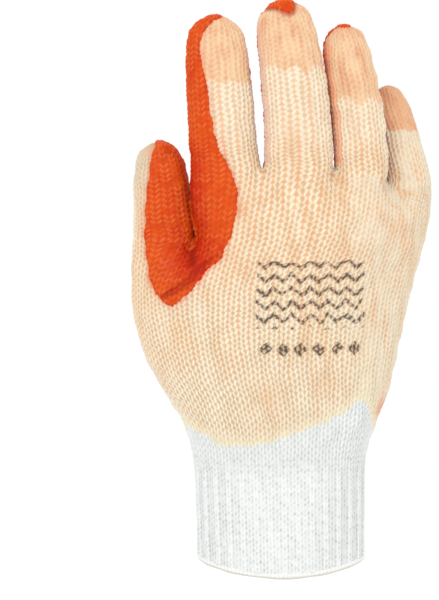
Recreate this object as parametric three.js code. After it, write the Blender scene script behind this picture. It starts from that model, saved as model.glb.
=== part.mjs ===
// A right-hand work glove: a knitted liner with a latex grip coating on the palm, a ribbed cuff and a bound edge.
// It stands fingers up with the shape that a hand gives it, and is hollow from the cuff to the fingertips.
// Millimetres. X runs from the thumb's side to the little finger's, Y from the back of the hand to the palm,
// and Z from the open end of the cuff, where the origin is, to the fingertips.
import * as THREE from "three";

// Lengths along the hand.
const EDGE_HEIGHT = 3;
const CUFF_LENGTH = 51;
const THUMB_CROTCH_HEIGHT = 95;
const FINGER_CROTCH_HEIGHT = 127;
const CORNER_RISE = 7;

// Digits, each from its crotch to its tip and across its thickest part.
const THUMB_LENGTH = 44.5;
const THUMB_WIDTH = 29;
const THUMB_DEPTH = 26;
const INDEX_LENGTH = 68.5;
const INDEX_WIDTH = 30;
const INDEX_DEPTH = 21.5;
const MIDDLE_LENGTH = 74;
const MIDDLE_WIDTH = 30;
const MIDDLE_DEPTH = 21.5;
const RING_LENGTH = 66;
const RING_WIDTH = 24;
const RING_DEPTH = 20;
const LITTLE_LENGTH = 43.5;
const LITTLE_WIDTH = 20;
const LITTLE_DEPTH = 19;

// The hand and the cuff.
const PALM_DEPTH = 37;
const KNUCKLE_DEPTH = 26;
const CUFF_WIDTH = 79;
const CUFF_DEPTH = 44;
const CUFF_TAPER = 0.975;
const WRIST_OFFSET = -0.9;

// Walls, all measured inwards from the glove's outermost surface.
const COAT_THICKNESS = 0.9;
const PIECE_GAP = 0.3;
const KNIT_WALL = 1.8;
const RIB_DEPTH = 0.8;
const CUFF_WALL = 2.2;
const EDGE_WALL = 2.8;

// The knit's columns: three across the back of each digit, three across its front and one on each side.
const COLUMNS_PER_DIGIT = 3;
const POINTS_PER_RIB = 2;
const HAND_SQUARENESS = 2.5;
const DIGIT_SQUARENESS = 2.25;
const FIT_ROUNDS = 12;
const CLIP_MARGIN = 0.08;

const CUFF_TOP = EDGE_HEIGHT + CUFF_LENGTH;
const LINER_DEPTH = COAT_THICKNESS + PIECE_GAP;

// Digits from the thumb's side. root: height of the crotch line against the named one, in shares of the digit's
// length, and how far the digit lies towards the palm, in shares of its depth. lean and curl: how far the tip
// goes sideways and towards the palm, in shares of the length, with the power that the path follows.
const FINGERS = [
  {
    name: "index", length: INDEX_LENGTH, width: INDEX_WIDTH, depth: INDEX_DEPTH,
    rootRise: 0, rootSink: 0.05, lean: -0.075, leanPower: 0.8, curl: 0.06, curlPower: 2,
  },
  {
    name: "middle", length: MIDDLE_LENGTH, width: MIDDLE_WIDTH, depth: MIDDLE_DEPTH,
    rootRise: 0.015, rootSink: -0.08, lean: -0.115, leanPower: 2, curl: 0.08, curlPower: 2,
  },
  {
    name: "ring", length: RING_LENGTH, width: RING_WIDTH, depth: RING_DEPTH,
    rootRise: -0.03, rootSink: 0.12, lean: -0.142, leanPower: 1.7, curl: 0.1, curlPower: 1.3,
  },
  {
    name: "little", length: LITTLE_LENGTH, width: LITTLE_WIDTH, depth: LITTLE_DEPTH,
    rootRise: -0.16, rootSink: 0.61, lean: -0.262, leanPower: 1.2, curl: 0.265, curlPower: 0.85,
  },
];
const THUMB = {
  name: "thumb", length: THUMB_LENGTH, width: THUMB_WIDTH, depth: THUMB_DEPTH,
  rootRise: 0, rootSink: 0.42, lean: -0.085, leanPower: 1, curl: -0.02, curlPower: 1,
};

// Rings up a finger and up the thumb: along in shares of the length, width and depth in shares of the digit's.
const FINGER_RINGS = [
  { along: 0, width: 1.07, depth: 1.04 },
  { along: 0.11, width: 1.03, depth: 1.0 },
  { along: 0.33, width: 1.01, depth: 0.97 },
  { along: 0.58, width: 0.99, depth: 0.95 },
  { along: 0.79, width: 0.92, depth: 0.88 },
  { along: 0.93, width: 0.74, depth: 0.7 },
  { along: 0.985, width: 0.44, depth: 0.4 },
];
const THUMB_RINGS = [
  { along: 0, width: 1.04, depth: 1.02 },
  { along: 0.2, width: 0.97, depth: 0.95 },
  { along: 0.46, width: 0.92, depth: 0.89 },
  { along: 0.7, width: 0.83, depth: 0.8 },
  { along: 0.89, width: 0.63, depth: 0.62 },
  { along: 0.98, width: 0.33, depth: 0.34 },
];
const DOME_RISE = 0.015;

// Rings up the hand. height: share of the way from the cuff to the thumb's crotch, then on to the fingers'.
// spread: how far the little finger's side has gone from the cuff's width to the knuckles'. thumb: how far the
// thumb's side stands out, in shares of the thumb's width. deep and thin: how far the depth has gone from the
// cuff's to the palm's, and from there to the knuckles'. thumbSink and littleSink: how far the two sides lie
// towards the palm, in shares of the palm's depth. fan: how far the columns follow the fingers' own widths.
const LOWER_RINGS = [
  { height: 0, spread: 0, thumb: 0, deep: 0, thumbSink: 0, littleSink: 0, fan: 0 },
  { height: 0.147, spread: 0.15, thumb: 0.15, deep: 0.3, thumbSink: 0.02, littleSink: 0.01, fan: 0 },
  { height: 0.295, spread: 0.33, thumb: 0.44, deep: 0.6, thumbSink: 0.08, littleSink: 0.03, fan: 0.1 },
  { height: 0.463, spread: 0.48, thumb: 0.73, deep: 0.85, thumbSink: 0.16, littleSink: 0.06, fan: 0.2 },
  { height: 0.642, spread: 0.61, thumb: 0.9, deep: 1, thumbSink: 0.22, littleSink: 0.1, fan: 0.35 },
  { height: 0.821, spread: 0.74, thumb: 0.93, deep: 1, thumbSink: 0.26, littleSink: 0.14, fan: 0.5 },
];
const UPPER_RINGS = [
  { height: 0, spread: 0.9, thin: 0.2, thumbSink: 0.1, littleSink: 0.17, fan: 0.75 },
  { height: 0.5, spread: 1, thin: 0.62, thumbSink: 0.06, littleSink: 0.19, fan: 0.95 },
];

// Folds pressed into the surface. side: -1 on the back, 1 on the palm. from and to: across in shares of the
// knuckles' width from the middle finger's line, up in shares of the height from the cuff to the fingers' crotch.
// reach: how wide the fold is, in shares of the knuckles' width. depth: in shares of the palm's depth.
const FOLDS = [
  { name: "palm hollow", side: 1, from: [0.02, 0.72], to: [-0.12, 0.42], reach: 0.15, depth: 0.13 },
  { name: "palm crease", side: 1, from: [0.34, 0.86], to: [0.0, 0.56], reach: 0.055, depth: 0.05 },
  { name: "thumb crease", side: 1, from: [-0.36, 0.72], to: [-0.24, 0.3], reach: 0.06, depth: 0.06 },
  { name: "ring valley", side: -1, from: [0.17, 0.98], to: [0.24, 0.78], reach: 0.045, depth: 0.05 },
  { name: "little valley", side: -1, from: [0.41, 0.92], to: [0.38, 0.68], reach: 0.05, depth: 0.055 },
  { name: "index valley", side: -1, from: [-0.15, 0.98], to: [-0.12, 0.84], reach: 0.045, depth: 0.03 },
  { name: "thumb valley", side: -1, from: [-0.4, 0.72], to: [-0.33, 0.58], reach: 0.06, depth: 0.06 },
];

// Where the coating ends on the back, round the thumb's web, and on the palm, as corners of a closed outline.
// across: shares of the knuckles' width from the middle finger's line. up: share of the height from the cuff to
// the fingers' crotch. Above that the digits' own tables say where it ends.
const BACK_COAT = [
  { across: -0.522, up: 0.528 },
  { across: -0.485, up: 0.551 },
  { across: -0.445, up: 0.585 },
  { across: -0.418, up: 0.617 },
  { across: -0.377, up: 0.66 },
  { across: -0.33, up: 0.69 },
  { across: -0.291, up: 0.75 },
  { across: -0.257, up: 0.843 },
  { across: -0.25, up: 0.931 },
  { across: -0.274, up: 1 },
  { across: -0.3, up: 1.4 },
  { across: -0.645, up: 1.4 },
  { across: -0.64, up: 0.75 },
  { across: -0.632, up: 0.687 },
  { across: -0.616, up: 0.617 },
  { across: -0.595, up: 0.575 },
  { across: -0.565, up: 0.545 },
];
const PALM_COAT = [
  { across: -0.115, up: 0.058 },
  { across: -0.04, up: 0.062 },
  { across: 0.03, up: 0.08 },
  { across: 0.1, up: 0.112 },
  { across: 0.155, up: 0.15 },
  { across: 0.22, up: 0.22 },
  { across: 0.285, up: 0.32 },
  { across: 0.345, up: 0.42 },
  { across: 0.395, up: 0.53 },
  { across: 0.425, up: 0.64 },
  { across: 0.45, up: 0.75 },
  { across: 0.47, up: 0.87 },
  { across: 0.475, up: 1 },
  { across: 0.475, up: 1.4 },
  { across: -0.66, up: 1.4 },
  { across: -0.655, up: 1 },
  { across: -0.64, up: 0.75 },
  { across: -0.622, up: 0.64 },
  { across: -0.6, up: 0.53 },
  { across: -0.56, up: 0.42 },
  { across: -0.505, up: 0.32 },
  { across: -0.435, up: 0.22 },
  { across: -0.37, up: 0.15 },
  { across: -0.3, up: 0.1 },
  { across: -0.225, up: 0.07 },
];
// Across the index finger and the thumb, in shares of half their width, from the crotch to the tip.
const INDEX_COAT = [
  { along: 0, across: 0.14 },
  { along: 0.07, across: 0.01 },
  { along: 0.14, across: -0.13 },
  { along: 0.28, across: -0.27 },
  { along: 0.48, across: -0.35 },
  { along: 0.64, across: -0.44 },
  { along: 0.8, across: -0.58 },
  { along: 0.91, across: -0.5 },
  { along: 1, across: -0.1 },
];
const THUMB_COAT = [
  { along: 0, across: -0.65 },
  { along: 0.12, across: -0.64 },
  { along: 0.35, across: -0.59 },
  { along: 0.58, across: -0.49 },
  { along: 0.76, across: -0.39 },
  { along: 0.9, across: -0.28 },
  { along: 1, across: -0.2 },
];
const LITTLE_COAT_ACROSS = 0.32;
// How far towards the palm the coating's edge lies on the thumb's side and on the other side of each finger, and
// the coating over its tip: how far down it comes on each side, and how far across it goes.
const SIDE_COAT = {
  index: { left: 0, right: 2.6 },
  middle: { left: 1.6, right: 2.6 },
  ring: { left: 1.4, right: 3.2 },
  little: { left: 2.2, right: 2.6 },
};
const TIP_COAT = {
  index: { left: 1, right: 1, reach: 9 },
  middle: { left: 2.4, right: 6, reach: 5.4 },
  ring: { left: 0.7, right: 0.9, reach: 7 },
  little: { left: -3, right: -3, reach: 9 },
};

const clamp01 = (value) => Math.min(1, Math.max(0, value));
const mix = (a, b, share) => a + (b - a) * share;
const smoothstep = (low, high, value) => {
  const share = clamp01((value - low) / (high - low));
  return share * share * (3 - 2 * share);
};
const signedPower = (value, power) => Math.sign(value) * Math.abs(value) ** power;

// The value of a column of a table at a place between its rows.
function tableAt(table, key, place, column) {
  const next = table.findIndex((row) => row[key] > place);
  if (next === 0) return table[0][column];
  if (next < 0) return table[table.length - 1][column];
  const [low, high] = [table[next - 1], table[next]];
  return mix(low[column], high[column], (place - low[key]) / (high[key] - low[key]));
}

// The fingers stand side by side: each root is found from its neighbour's by their widths at the crotch.
const ROOT_WIDTH = FINGER_RINGS[0].width;
const NESTING = [0, 1, 0.975, 0.905];
function placeFingers() {
  const [index, middle, ring, little] = FINGERS;
  const step = (a, b, share) => ((a.width + b.width) / 2) * ROOT_WIDTH * share;
  middle.x = (middle.width + INDEX_WIDTH) / 2 / 4;
  index.x = middle.x - step(index, middle, NESTING[1]);
  ring.x = middle.x + step(middle, ring, NESTING[2]);
  little.x = ring.x + step(ring, little, NESTING[3]);
  for (const finger of FINGERS) {
    finger.z = CUFF_TOP + FINGER_CROTCH_HEIGHT + finger.rootRise * finger.length;
    finger.rings = FINGER_RINGS;
  }
}
placeFingers();
const [INDEX, MIDDLE, , LITTLE] = FINGERS;
const KNUCKLE_LEFT = INDEX.x - (INDEX.width * ROOT_WIDTH) / 2;
const KNUCKLE_RIGHT = LITTLE.x + (LITTLE.width * ROOT_WIDTH) / 2;
const KNUCKLE_WIDTH = KNUCKLE_RIGHT - KNUCKLE_LEFT;
THUMB.x = KNUCKLE_LEFT + THUMB_WIDTH * (0.13 - THUMB_RINGS[0].width / 2);
THUMB.z = CUFF_TOP + THUMB_CROTCH_HEIGHT;
THUMB.rings = THUMB_RINGS;

// The middle line of a digit, and the frame across it there: side points to +X and front to the palm.
function digitCentre(digit, along) {
  return new THREE.Vector3(
    digit.x + digit.lean * digit.length * along ** digit.leanPower,
    digit.rootSink * digit.depth + digit.curl * digit.length * along ** digit.curlPower,
    digit.z + digit.length * along,
  );
}
function digitFrame(digit, along) {
  const step = 0.05;
  const low = Math.max(0, along - step);
  const up = digitCentre(digit, low + 2 * step).sub(digitCentre(digit, low)).normalize();
  up.lerp(new THREE.Vector3(0, 0, 1), 1 - clamp01(along * 4)).normalize();
  const side = new THREE.Vector3(1, 0, 0).addScaledVector(up, -up.x).normalize();
  return { side, front: up.clone().cross(side) };
}

// One ring of a digit, as its points from the back's left corner round by the right side to the front's left.
function digitRing(digit, ring, isLast) {
  const centre = digitCentre(digit, ring.along);
  const { side, front } = digitFrame(digit, ring.along);
  const count = 2 * COLUMNS_PER_DIGIT + 2;
  const power = 2 / DIGIT_SQUARENESS;
  return Array.from({ length: count }, (_, k) => {
    const angle = ((k + 0.5) / count) * 2 * Math.PI - Math.PI / 2;
    const across = (signedPower(Math.sin(angle), power) * ring.width * digit.width) / 2;
    const forward = (-signedPower(Math.cos(angle), power) * ring.depth * digit.depth) / 2;
    const inner = isLast && Math.abs(Math.sin(angle)) < 0.7;
    const point = centre.clone().addScaledVector(side, across).addScaledVector(front, forward);
    point.z += inner ? DOME_RISE * digit.length : 0;
    return point;
  });
}

// A ring of the hand or cuff: a rounded oblong from left to right, its points spaced by the columns' widths.
function handSection(section, weights) {
  const { left, right, depth, thumbSink, littleSink, z } = section;
  const centre = (left + right) / 2;
  const half = (right - left) / 2;
  const power = 2 / HAND_SQUARENESS;
  const samples = 240;
  const outline = Array.from({ length: samples + 1 }, (_, i) => {
    const angle = (i / samples) * 2 * Math.PI;
    const x = centre - half * signedPower(Math.cos(angle), power);
    const y = (-depth / 2) * signedPower(Math.sin(angle), power);
    const fromMiddle = (x - centre) / half;
    const sink = fromMiddle < 0 ? thumbSink : littleSink;
    return new THREE.Vector3(x, y + sink * fromMiddle ** 2, z);
  });
  const reach = [0];
  for (let i = 1; i <= samples; i++) reach.push(reach[i - 1] + outline[i].distanceTo(outline[i - 1]));
  const total = weights.reduce((sum, weight) => sum + weight, 0);
  let passed = weights[weights.length - 1] / 2;
  let at = 0;
  return weights.map((weight) => {
    const wanted = (passed / total) * reach[samples];
    while (reach[at + 1] < wanted) at += 1;
    passed += weight;
    return outline[at].clone().lerp(outline[at + 1], (wanted - reach[at]) / (reach[at + 1] - reach[at]));
  });
}

// Relative widths of the columns round a loop of digits: the back, the right side, the front, the left side.
function columnWeights(digits, fan) {
  const mean = FINGERS.reduce((sum, finger) => sum + finger.width, 0) / FINGERS.length;
  const back = digits.flatMap((digit) => {
    const own = digit === THUMB ? 1 : digit.width / mean;
    return Array(COLUMNS_PER_DIGIT).fill(mix(1, own, fan));
  });
  return [...back, 1, ...[...back].reverse(), 1];
}

function lowerSection(row) {
  const z = CUFF_TOP + THUMB_CROTCH_HEIGHT * row.height;
  return {
    left: mix(WRIST_OFFSET - CUFF_WIDTH / 2, KNUCKLE_LEFT, row.spread) - row.thumb * THUMB_WIDTH,
    right: mix(WRIST_OFFSET + CUFF_WIDTH / 2, KNUCKLE_RIGHT, row.spread),
    depth: mix(CUFF_DEPTH, PALM_DEPTH, row.deep),
    thumbSink: row.thumbSink * PALM_DEPTH,
    littleSink: row.littleSink * PALM_DEPTH,
    z,
  };
}
function upperSection(row) {
  return {
    left: KNUCKLE_LEFT,
    right: mix(WRIST_OFFSET + CUFF_WIDTH / 2, KNUCKLE_RIGHT, row.spread),
    depth: mix(PALM_DEPTH, KNUCKLE_DEPTH, row.thin),
    thumbSink: row.thumbSink * PALM_DEPTH,
    littleSink: row.littleSink * PALM_DEPTH,
    z: CUFF_TOP + mix(THUMB_CROTCH_HEIGHT, FINGER_CROTCH_HEIGHT, row.height),
  };
}

// The cage: points that the surface goes through, and quads between them. Each quad names its part of the glove.
const cage = { points: [], quads: [], parts: [] };
function addRing(points) {
  return points.map((point) => cage.points.push(point) - 1);
}
function joinRings(low, high, part) {
  low.forEach((id, k) => {
    const next = (k + 1) % low.length;
    cage.quads.push([id, low[next], high[next], high[k]]);
    cage.parts.push(part);
  });
}
// Part of a loop, from one point of its back to another, closed through the front.
function subLoop(loop, first, last) {
  const back = loop.slice(first, last + 1);
  const front = loop.slice(loop.length - 1 - last, loop.length - first);
  return [...back, ...front];
}
function addDigit(digit, root) {
  let loop = root;
  digit.rings.slice(1).forEach((ring, row, rings) => {
    const next = addRing(digitRing(digit, ring, row === rings.length - 1));
    joinRings(loop, next, digit.name);
    loop = next;
  });
  for (let k = 0; k < COLUMNS_PER_DIGIT; k++) {
    cage.quads.push([loop[k], loop[k + 1], loop[loop.length - 2 - k], loop[loop.length - 1 - k]]);
    cage.parts.push(digit.name);
  }
}

// The ring where digits part: their own root rings, with each shared corner halfway between two neighbours.
function partingPoints(rings) {
  const backs = rings.map((ring) => ring.slice(0, ring.length / 2));
  const fronts = rings.map((ring) => ring.slice(ring.length / 2).reverse());
  const merge = (rows) => {
    const merged = [...rows[0]];
    for (const row of rows.slice(1)) {
      const shared = merged.pop().clone().lerp(row[0], 0.5);
      merged.push(shared, ...row.slice(1));
    }
    return merged;
  };
  return [...merge(backs), ...merge(fronts).reverse()];
}

function buildCage() {
  const all = [THUMB, ...FINGERS];
  let loop = addRing(handSection(lowerSection(LOWER_RINGS[0]), columnWeights(all, LOWER_RINGS[0].fan)));
  for (const row of LOWER_RINGS.slice(1)) {
    const next = addRing(handSection(lowerSection(row), columnWeights(all, row.fan)));
    joinRings(loop, next, "hand");
    loop = next;
  }
  const handRing = handSection(upperSection(UPPER_RINGS[0]), columnWeights(FINGERS, UPPER_RINGS[0].fan));
  const parting = addRing(partingPoints([digitRing(THUMB, THUMB_RINGS[0], false), handRing]));
  joinRings(loop, parting, "hand");
  addDigit(THUMB, subLoop(parting, 0, COLUMNS_PER_DIGIT));
  loop = subLoop(parting, COLUMNS_PER_DIGIT, parting.length / 2 - 1);
  for (const row of UPPER_RINGS.slice(1)) {
    const next = addRing(handSection(upperSection(row), columnWeights(FINGERS, row.fan)));
    joinRings(loop, next, "hand");
    loop = next;
  }
  const knuckles = addRing(partingPoints(FINGERS.map((finger) => digitRing(finger, FINGER_RINGS[0], false))));
  joinRings(loop, knuckles, "hand");
  FINGERS.forEach((finger, i) => {
    addDigit(finger, subLoop(knuckles, i * COLUMNS_PER_DIGIT, (i + 1) * COLUMNS_PER_DIGIT));
  });
}
buildCage();

// Neighbours of each point of a quad mesh: points one edge away, points across a quad, and its open edges.
function neighbours(mesh) {
  const near = mesh.points.map(() => ({ edges: new Set(), across: [], rim: [] }));
  const uses = new Map();
  for (const quad of mesh.quads) {
    quad.forEach((id, k) => {
      const [next, far, last] = [quad[(k + 1) % 4], quad[(k + 2) % 4], quad[(k + 3) % 4]];
      near[id].edges.add(next).add(last);
      near[id].across.push(far);
      const key = Math.min(id, next) + "," + Math.max(id, next);
      uses.set(key, (uses.get(key) ?? 0) + 1);
    });
  }
  for (const [key, count] of uses) {
    if (count > 1) continue;
    const [a, b] = key.split(",").map(Number);
    near[a].rim.push(b);
    near[b].rim.push(a);
  }
  return near;
}

// Where Catmull-Clark subdivision leads each point of a mesh.
function limitPoints(points, near) {
  const add = (sum, ids, weight) => {
    for (const id of ids) sum.addScaledVector(points[id], weight);
    return sum;
  };
  return points.map((point, id) => {
    const { edges, across, rim } = near[id];
    if (rim.length) return add(point.clone().multiplyScalar(4), rim, 1).divideScalar(6);
    const n = edges.size;
    const sum = add(point.clone().multiplyScalar(n * n), edges, 4);
    return add(sum, across, 1).divideScalar(n * (n + 5));
  });
}

// Moves the cage out until its smooth surface goes through the points that it was given.
function fitCage(mesh) {
  const wanted = mesh.points.map((point) => point.clone());
  const near = neighbours(mesh);
  for (let round = 0; round < FIT_ROUNDS; round++) {
    const reached = limitPoints(mesh.points, near);
    mesh.points.forEach((point, id) => point.add(wanted[id]).sub(reached[id]));
  }
}

// One step of Catmull-Clark subdivision. The mesh's own points keep their places in the list.
function subdivide(mesh) {
  const near = neighbours(mesh);
  const sum = (list) => list.reduce((total, point) => total.add(point), new THREE.Vector3());
  const centres = mesh.quads.map((quad) => sum(quad.map((id) => mesh.points[id])).divideScalar(4));
  const edges = new Map();
  mesh.quads.forEach((quad, face) => {
    quad.forEach((id, k) => {
      const next = quad[(k + 1) % 4];
      const key = Math.min(id, next) + "," + Math.max(id, next);
      if (!edges.has(key)) edges.set(key, { ends: [id, next], faces: [] });
      edges.get(key).faces.push(face);
    });
  });
  const faceSums = mesh.points.map(() => new THREE.Vector3());
  mesh.quads.forEach((quad, face) => quad.forEach((id) => faceSums[id].add(centres[face])));
  const points = mesh.points.map((point, id) => {
    const { edges: ring, rim } = near[id];
    if (rim.length) return sum(rim.map((r) => mesh.points[r])).addScaledVector(point, 6).divideScalar(8);
    const n = ring.size;
    const result = faceSums[id].clone().divideScalar(n);
    for (const other of ring) result.addScaledVector(mesh.points[other], 1 / n);
    return result.addScaledVector(point, n - 2).divideScalar(n);
  });
  for (const edge of edges.values()) {
    const ends = edge.ends.map((id) => mesh.points[id]);
    const about = edge.faces.length === 2 ? [...ends, ...edge.faces.map((face) => centres[face])] : ends;
    edge.id = points.push(sum(about).divideScalar(about.length)) - 1;
  }
  const middle = centres.map((centre) => points.push(centre) - 1);
  const edgeId = (a, b) => edges.get(Math.min(a, b) + "," + Math.max(a, b)).id;
  const quads = [];
  const parts = [];
  mesh.quads.forEach((quad, face) => {
    quad.forEach((id, k) => {
      quads.push([id, edgeId(id, quad[(k + 1) % 4]), middle[face], edgeId(quad[(k + 3) % 4], id)]);
      parts.push(mesh.parts[face]);
    });
  });
  return { points, quads, parts, edgeId };
}

function pointNormals(points, quads) {
  const normals = points.map(() => new THREE.Vector3());
  for (const quad of quads) {
    const [a, b, c, d] = quad.map((id) => points[id]);
    const normal = c.clone().sub(a).cross(d.clone().sub(b));
    for (const id of quad) normals[id].add(normal);
  }
  return normals.map((normal) => normal.normalize());
}

// How deep the folds press the surface in at a point.
function foldDepth(point, normal) {
  const across = (point.x - MIDDLE.x) / KNUCKLE_WIDTH;
  const up = (point.z - CUFF_TOP) / FINGER_CROTCH_HEIGHT;
  const stretch = FINGER_CROTCH_HEIGHT / KNUCKLE_WIDTH;
  let depth = 0;
  for (const fold of FOLDS) {
    const facing = clamp01(normal.y * fold.side);
    const run = [fold.to[0] - fold.from[0], (fold.to[1] - fold.from[1]) * stretch];
    const rise = [across - fold.from[0], (up - fold.from[1]) * stretch];
    const share = clamp01((rise[0] * run[0] + rise[1] * run[1]) / (run[0] ** 2 + run[1] ** 2));
    const away = Math.hypot(rise[0] - share * run[0], rise[1] - share * run[1]) / fold.reach;
    depth += facing * fold.depth * PALM_DEPTH * Math.exp(-(away ** 2)) * (1 - 0.4 * share);
  }
  return depth;
}

// The glove's outermost surface, with the folds pressed in.
function outerSurface() {
  fitCage(cage);
  const mesh = subdivide(cage);
  const smooth = limitPoints(mesh.points, neighbours(mesh));
  const flat = pointNormals(smooth, mesh.quads);
  mesh.points = smooth.map((point, id) => point.addScaledVector(flat[id], -foldDepth(point, flat[id])));
  mesh.normals = pointNormals(mesh.points, mesh.quads);
  return mesh;
}

// How far inside the coating's outline a point lies, in millimetres: above zero it is coated.
function coatOnHand(point) {
  const x = point.x - MIDDLE.x;
  const z = point.z - CUFF_TOP;
  const sink = x < 0 ? 0.08 * PALM_DEPTH : (0.3 * PALM_DEPTH * x) / KNUCKLE_WIDTH;
  const outline = point.y > sink ? PALM_COAT : BACK_COAT;
  let inside = false;
  let distance = Infinity;
  outline.forEach((corner, i) => {
    const next = outline[(i + 1) % outline.length];
    const [ax, az] = [corner.across * KNUCKLE_WIDTH, corner.up * FINGER_CROTCH_HEIGHT];
    const [bx, bz] = [next.across * KNUCKLE_WIDTH, next.up * FINGER_CROTCH_HEIGHT];
    if (az > z !== bz > z && x < ax + ((bx - ax) * (z - az)) / (bz - az)) inside = !inside;
    const length = Math.hypot(bx - ax, bz - az);
    const share = clamp01(((x - ax) * (bx - ax) + (z - az) * (bz - az)) / length ** 2);
    distance = Math.min(distance, Math.hypot(x - mix(ax, bx, share), z - mix(az, bz, share)));
  });
  return inside ? distance : -distance;
}
function coatOnDigit(digit, point) {
  const along = clamp01((point.z - digit.z) / digit.length);
  const { side, front } = digitFrame(digit, along);
  const from = point.clone().sub(digitCentre(digit, along));
  const half = (digit.width * tableAt(digit.rings, "along", along, "width")) / 2;
  const across = from.dot(side);
  if (digit === THUMB) return across - tableAt(THUMB_COAT, "along", along, "across") * half;
  const sideways = SIDE_COAT[digit.name];
  const forward = from.dot(front) - mix(sideways.left, sideways.right, smoothstep(-0.7, 0.7, across / half));
  const tip = TIP_COAT[digit.name];
  const top = digit.z + digit.length * (1 + DOME_RISE);
  const down = mix(tip.left, tip.right, smoothstep(-0.9, 0.5, across / half));
  const overTip = Math.min(point.z - top + down, tip.reach - across);
  if (digit === INDEX) {
    const wrapped = tableAt(INDEX_COAT, "along", along, "across") * half - across;
    return Math.max(forward, wrapped, overTip);
  }
  if (digit === LITTLE) return Math.max(Math.min(forward, LITTLE_COAT_ACROSS * half - across), overTip);
  return Math.max(forward, overTip);
}
function coatValues(mesh) {
  const totals = mesh.points.map(() => ({ sum: 0, count: 0 }));
  mesh.quads.forEach((quad, face) => {
    const digit = [THUMB, ...FINGERS].find((candidate) => candidate.name === mesh.parts[face]);
    for (const id of quad) {
      totals[id].sum += digit ? coatOnDigit(digit, mesh.points[id]) : coatOnHand(mesh.points[id]);
      totals[id].count += 1;
    }
  });
  return totals.map(({ sum, count }) => sum / count);
}

// A closed solid under construction: points, and triangles that face outwards.
class Solid {
  points = [];
  triangles = [];
  add(point) {
    return this.points.push(point) - 1;
  }
  quad(a, b, c, d) {
    const [p, q, r, s] = [a, b, c, d].map((id) => this.points[id]);
    if (p.distanceTo(r) <= q.distanceTo(s)) this.triangles.push([a, b, c], [a, c, d]);
    else this.triangles.push([a, b, d], [b, c, d]);
  }
  // Joins a run of points on one wall to a single edge of the other wall.
  bridge(run, start, end) {
    const half = Math.floor(run.length / 2);
    for (let i = 0; i < half; i++) this.triangles.push([run[i + 1], run[i], start]);
    this.triangles.push([run[half], start, end]);
    for (let i = half; i < run.length - 1; i++) this.triangles.push([run[i + 1], run[i], end]);
  }
  geometry() {
    const geometry = new THREE.BufferGeometry();
    geometry.setAttribute("position", new THREE.Float32BufferAttribute(this.points.flatMap((p) => p.toArray()), 3));
    geometry.setIndex(this.triangles.flat());
    geometry.computeVertexNormals();
    return geometry;
  }
}

const surface = outerSurface();
const inset = (id, depth) => surface.points[id].clone().addScaledVector(surface.normals[id], -depth);
const surfaceTriangles = surface.quads.flatMap(([a, b, c, d]) => {
  const [p, q, r, s] = [a, b, c, d].map((id) => surface.points[id]);
  return p.distanceTo(r) <= q.distanceTo(s) ? [[a, b, c], [a, c, d]] : [[a, b, d], [b, c, d]];
});

// The liner: a smooth outer wall, and an inner wall through the cage's own points.
function knitLiner() {
  const solid = new Solid();
  surface.points.forEach((_, id) => solid.add(inset(id, LINER_DEPTH)));
  solid.triangles.push(...surfaceTriangles);
  const inner = cage.points.map((_, id) => solid.add(inset(id, LINER_DEPTH + KNIT_WALL)));
  for (const [a, b, c, d] of cage.quads) solid.quad(inner[a], inner[d], inner[c], inner[b]);
  const columns = 2 * COLUMNS_PER_DIGIT * (FINGERS.length + 1) + 2;
  for (let k = 0; k < columns; k++) {
    const next = (k + 1) % columns;
    solid.bridge([k, surface.edgeId(k, next), next], inner[k], inner[next]);
  }
  return solid.geometry();
}

// The coating: the part of the surface inside its outline, cut along the outline and given its thickness.
function latexCoating() {
  const values = coatValues(surface);
  const solid = new Solid();
  const pairs = new Map();
  const pairFor = (key, point, normal) => {
    if (!pairs.has(key)) {
      const outer = solid.add(point);
      pairs.set(key, [outer, solid.add(point.clone().addScaledVector(normal, -COAT_THICKNESS))]);
    }
    return pairs.get(key);
  };
  const corner = (id) => pairFor(String(id), surface.points[id].clone(), surface.normals[id]);
  const crossing = (a, b) => {
    const [low, high] = a < b ? [a, b] : [b, a];
    const raw = values[low] / (values[low] - values[high]);
    const share = Math.min(1 - CLIP_MARGIN, Math.max(CLIP_MARGIN, raw));
    const point = surface.points[low].clone().lerp(surface.points[high], share);
    const normal = surface.normals[low].clone().lerp(surface.normals[high], share).normalize();
    return pairFor(low + "," + high, point, normal);
  };
  for (const face of surfaceTriangles) {
    const kept = face.flatMap((id, k) => {
      const next = face[(k + 1) % 3];
      const here = values[id] > 0 ? [{ pair: corner(id), edge: false }] : [];
      const cut = values[id] > 0 !== values[next] > 0;
      return cut ? [...here, { pair: crossing(id, next), edge: true }] : here;
    });
    for (let i = 1; i + 1 < kept.length; i++) {
      const [a, b, c] = [kept[0], kept[i], kept[i + 1]].map(({ pair }) => pair);
      solid.triangles.push([a[0], b[0], c[0]], [a[1], c[1], b[1]]);
    }
    kept.forEach(({ pair, edge }, k) => {
      const next = kept[(k + 1) % kept.length];
      if (edge && next.edge) solid.quad(next.pair[0], pair[0], pair[1], next.pair[1]);
    });
  }
  return solid.geometry();
}

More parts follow.
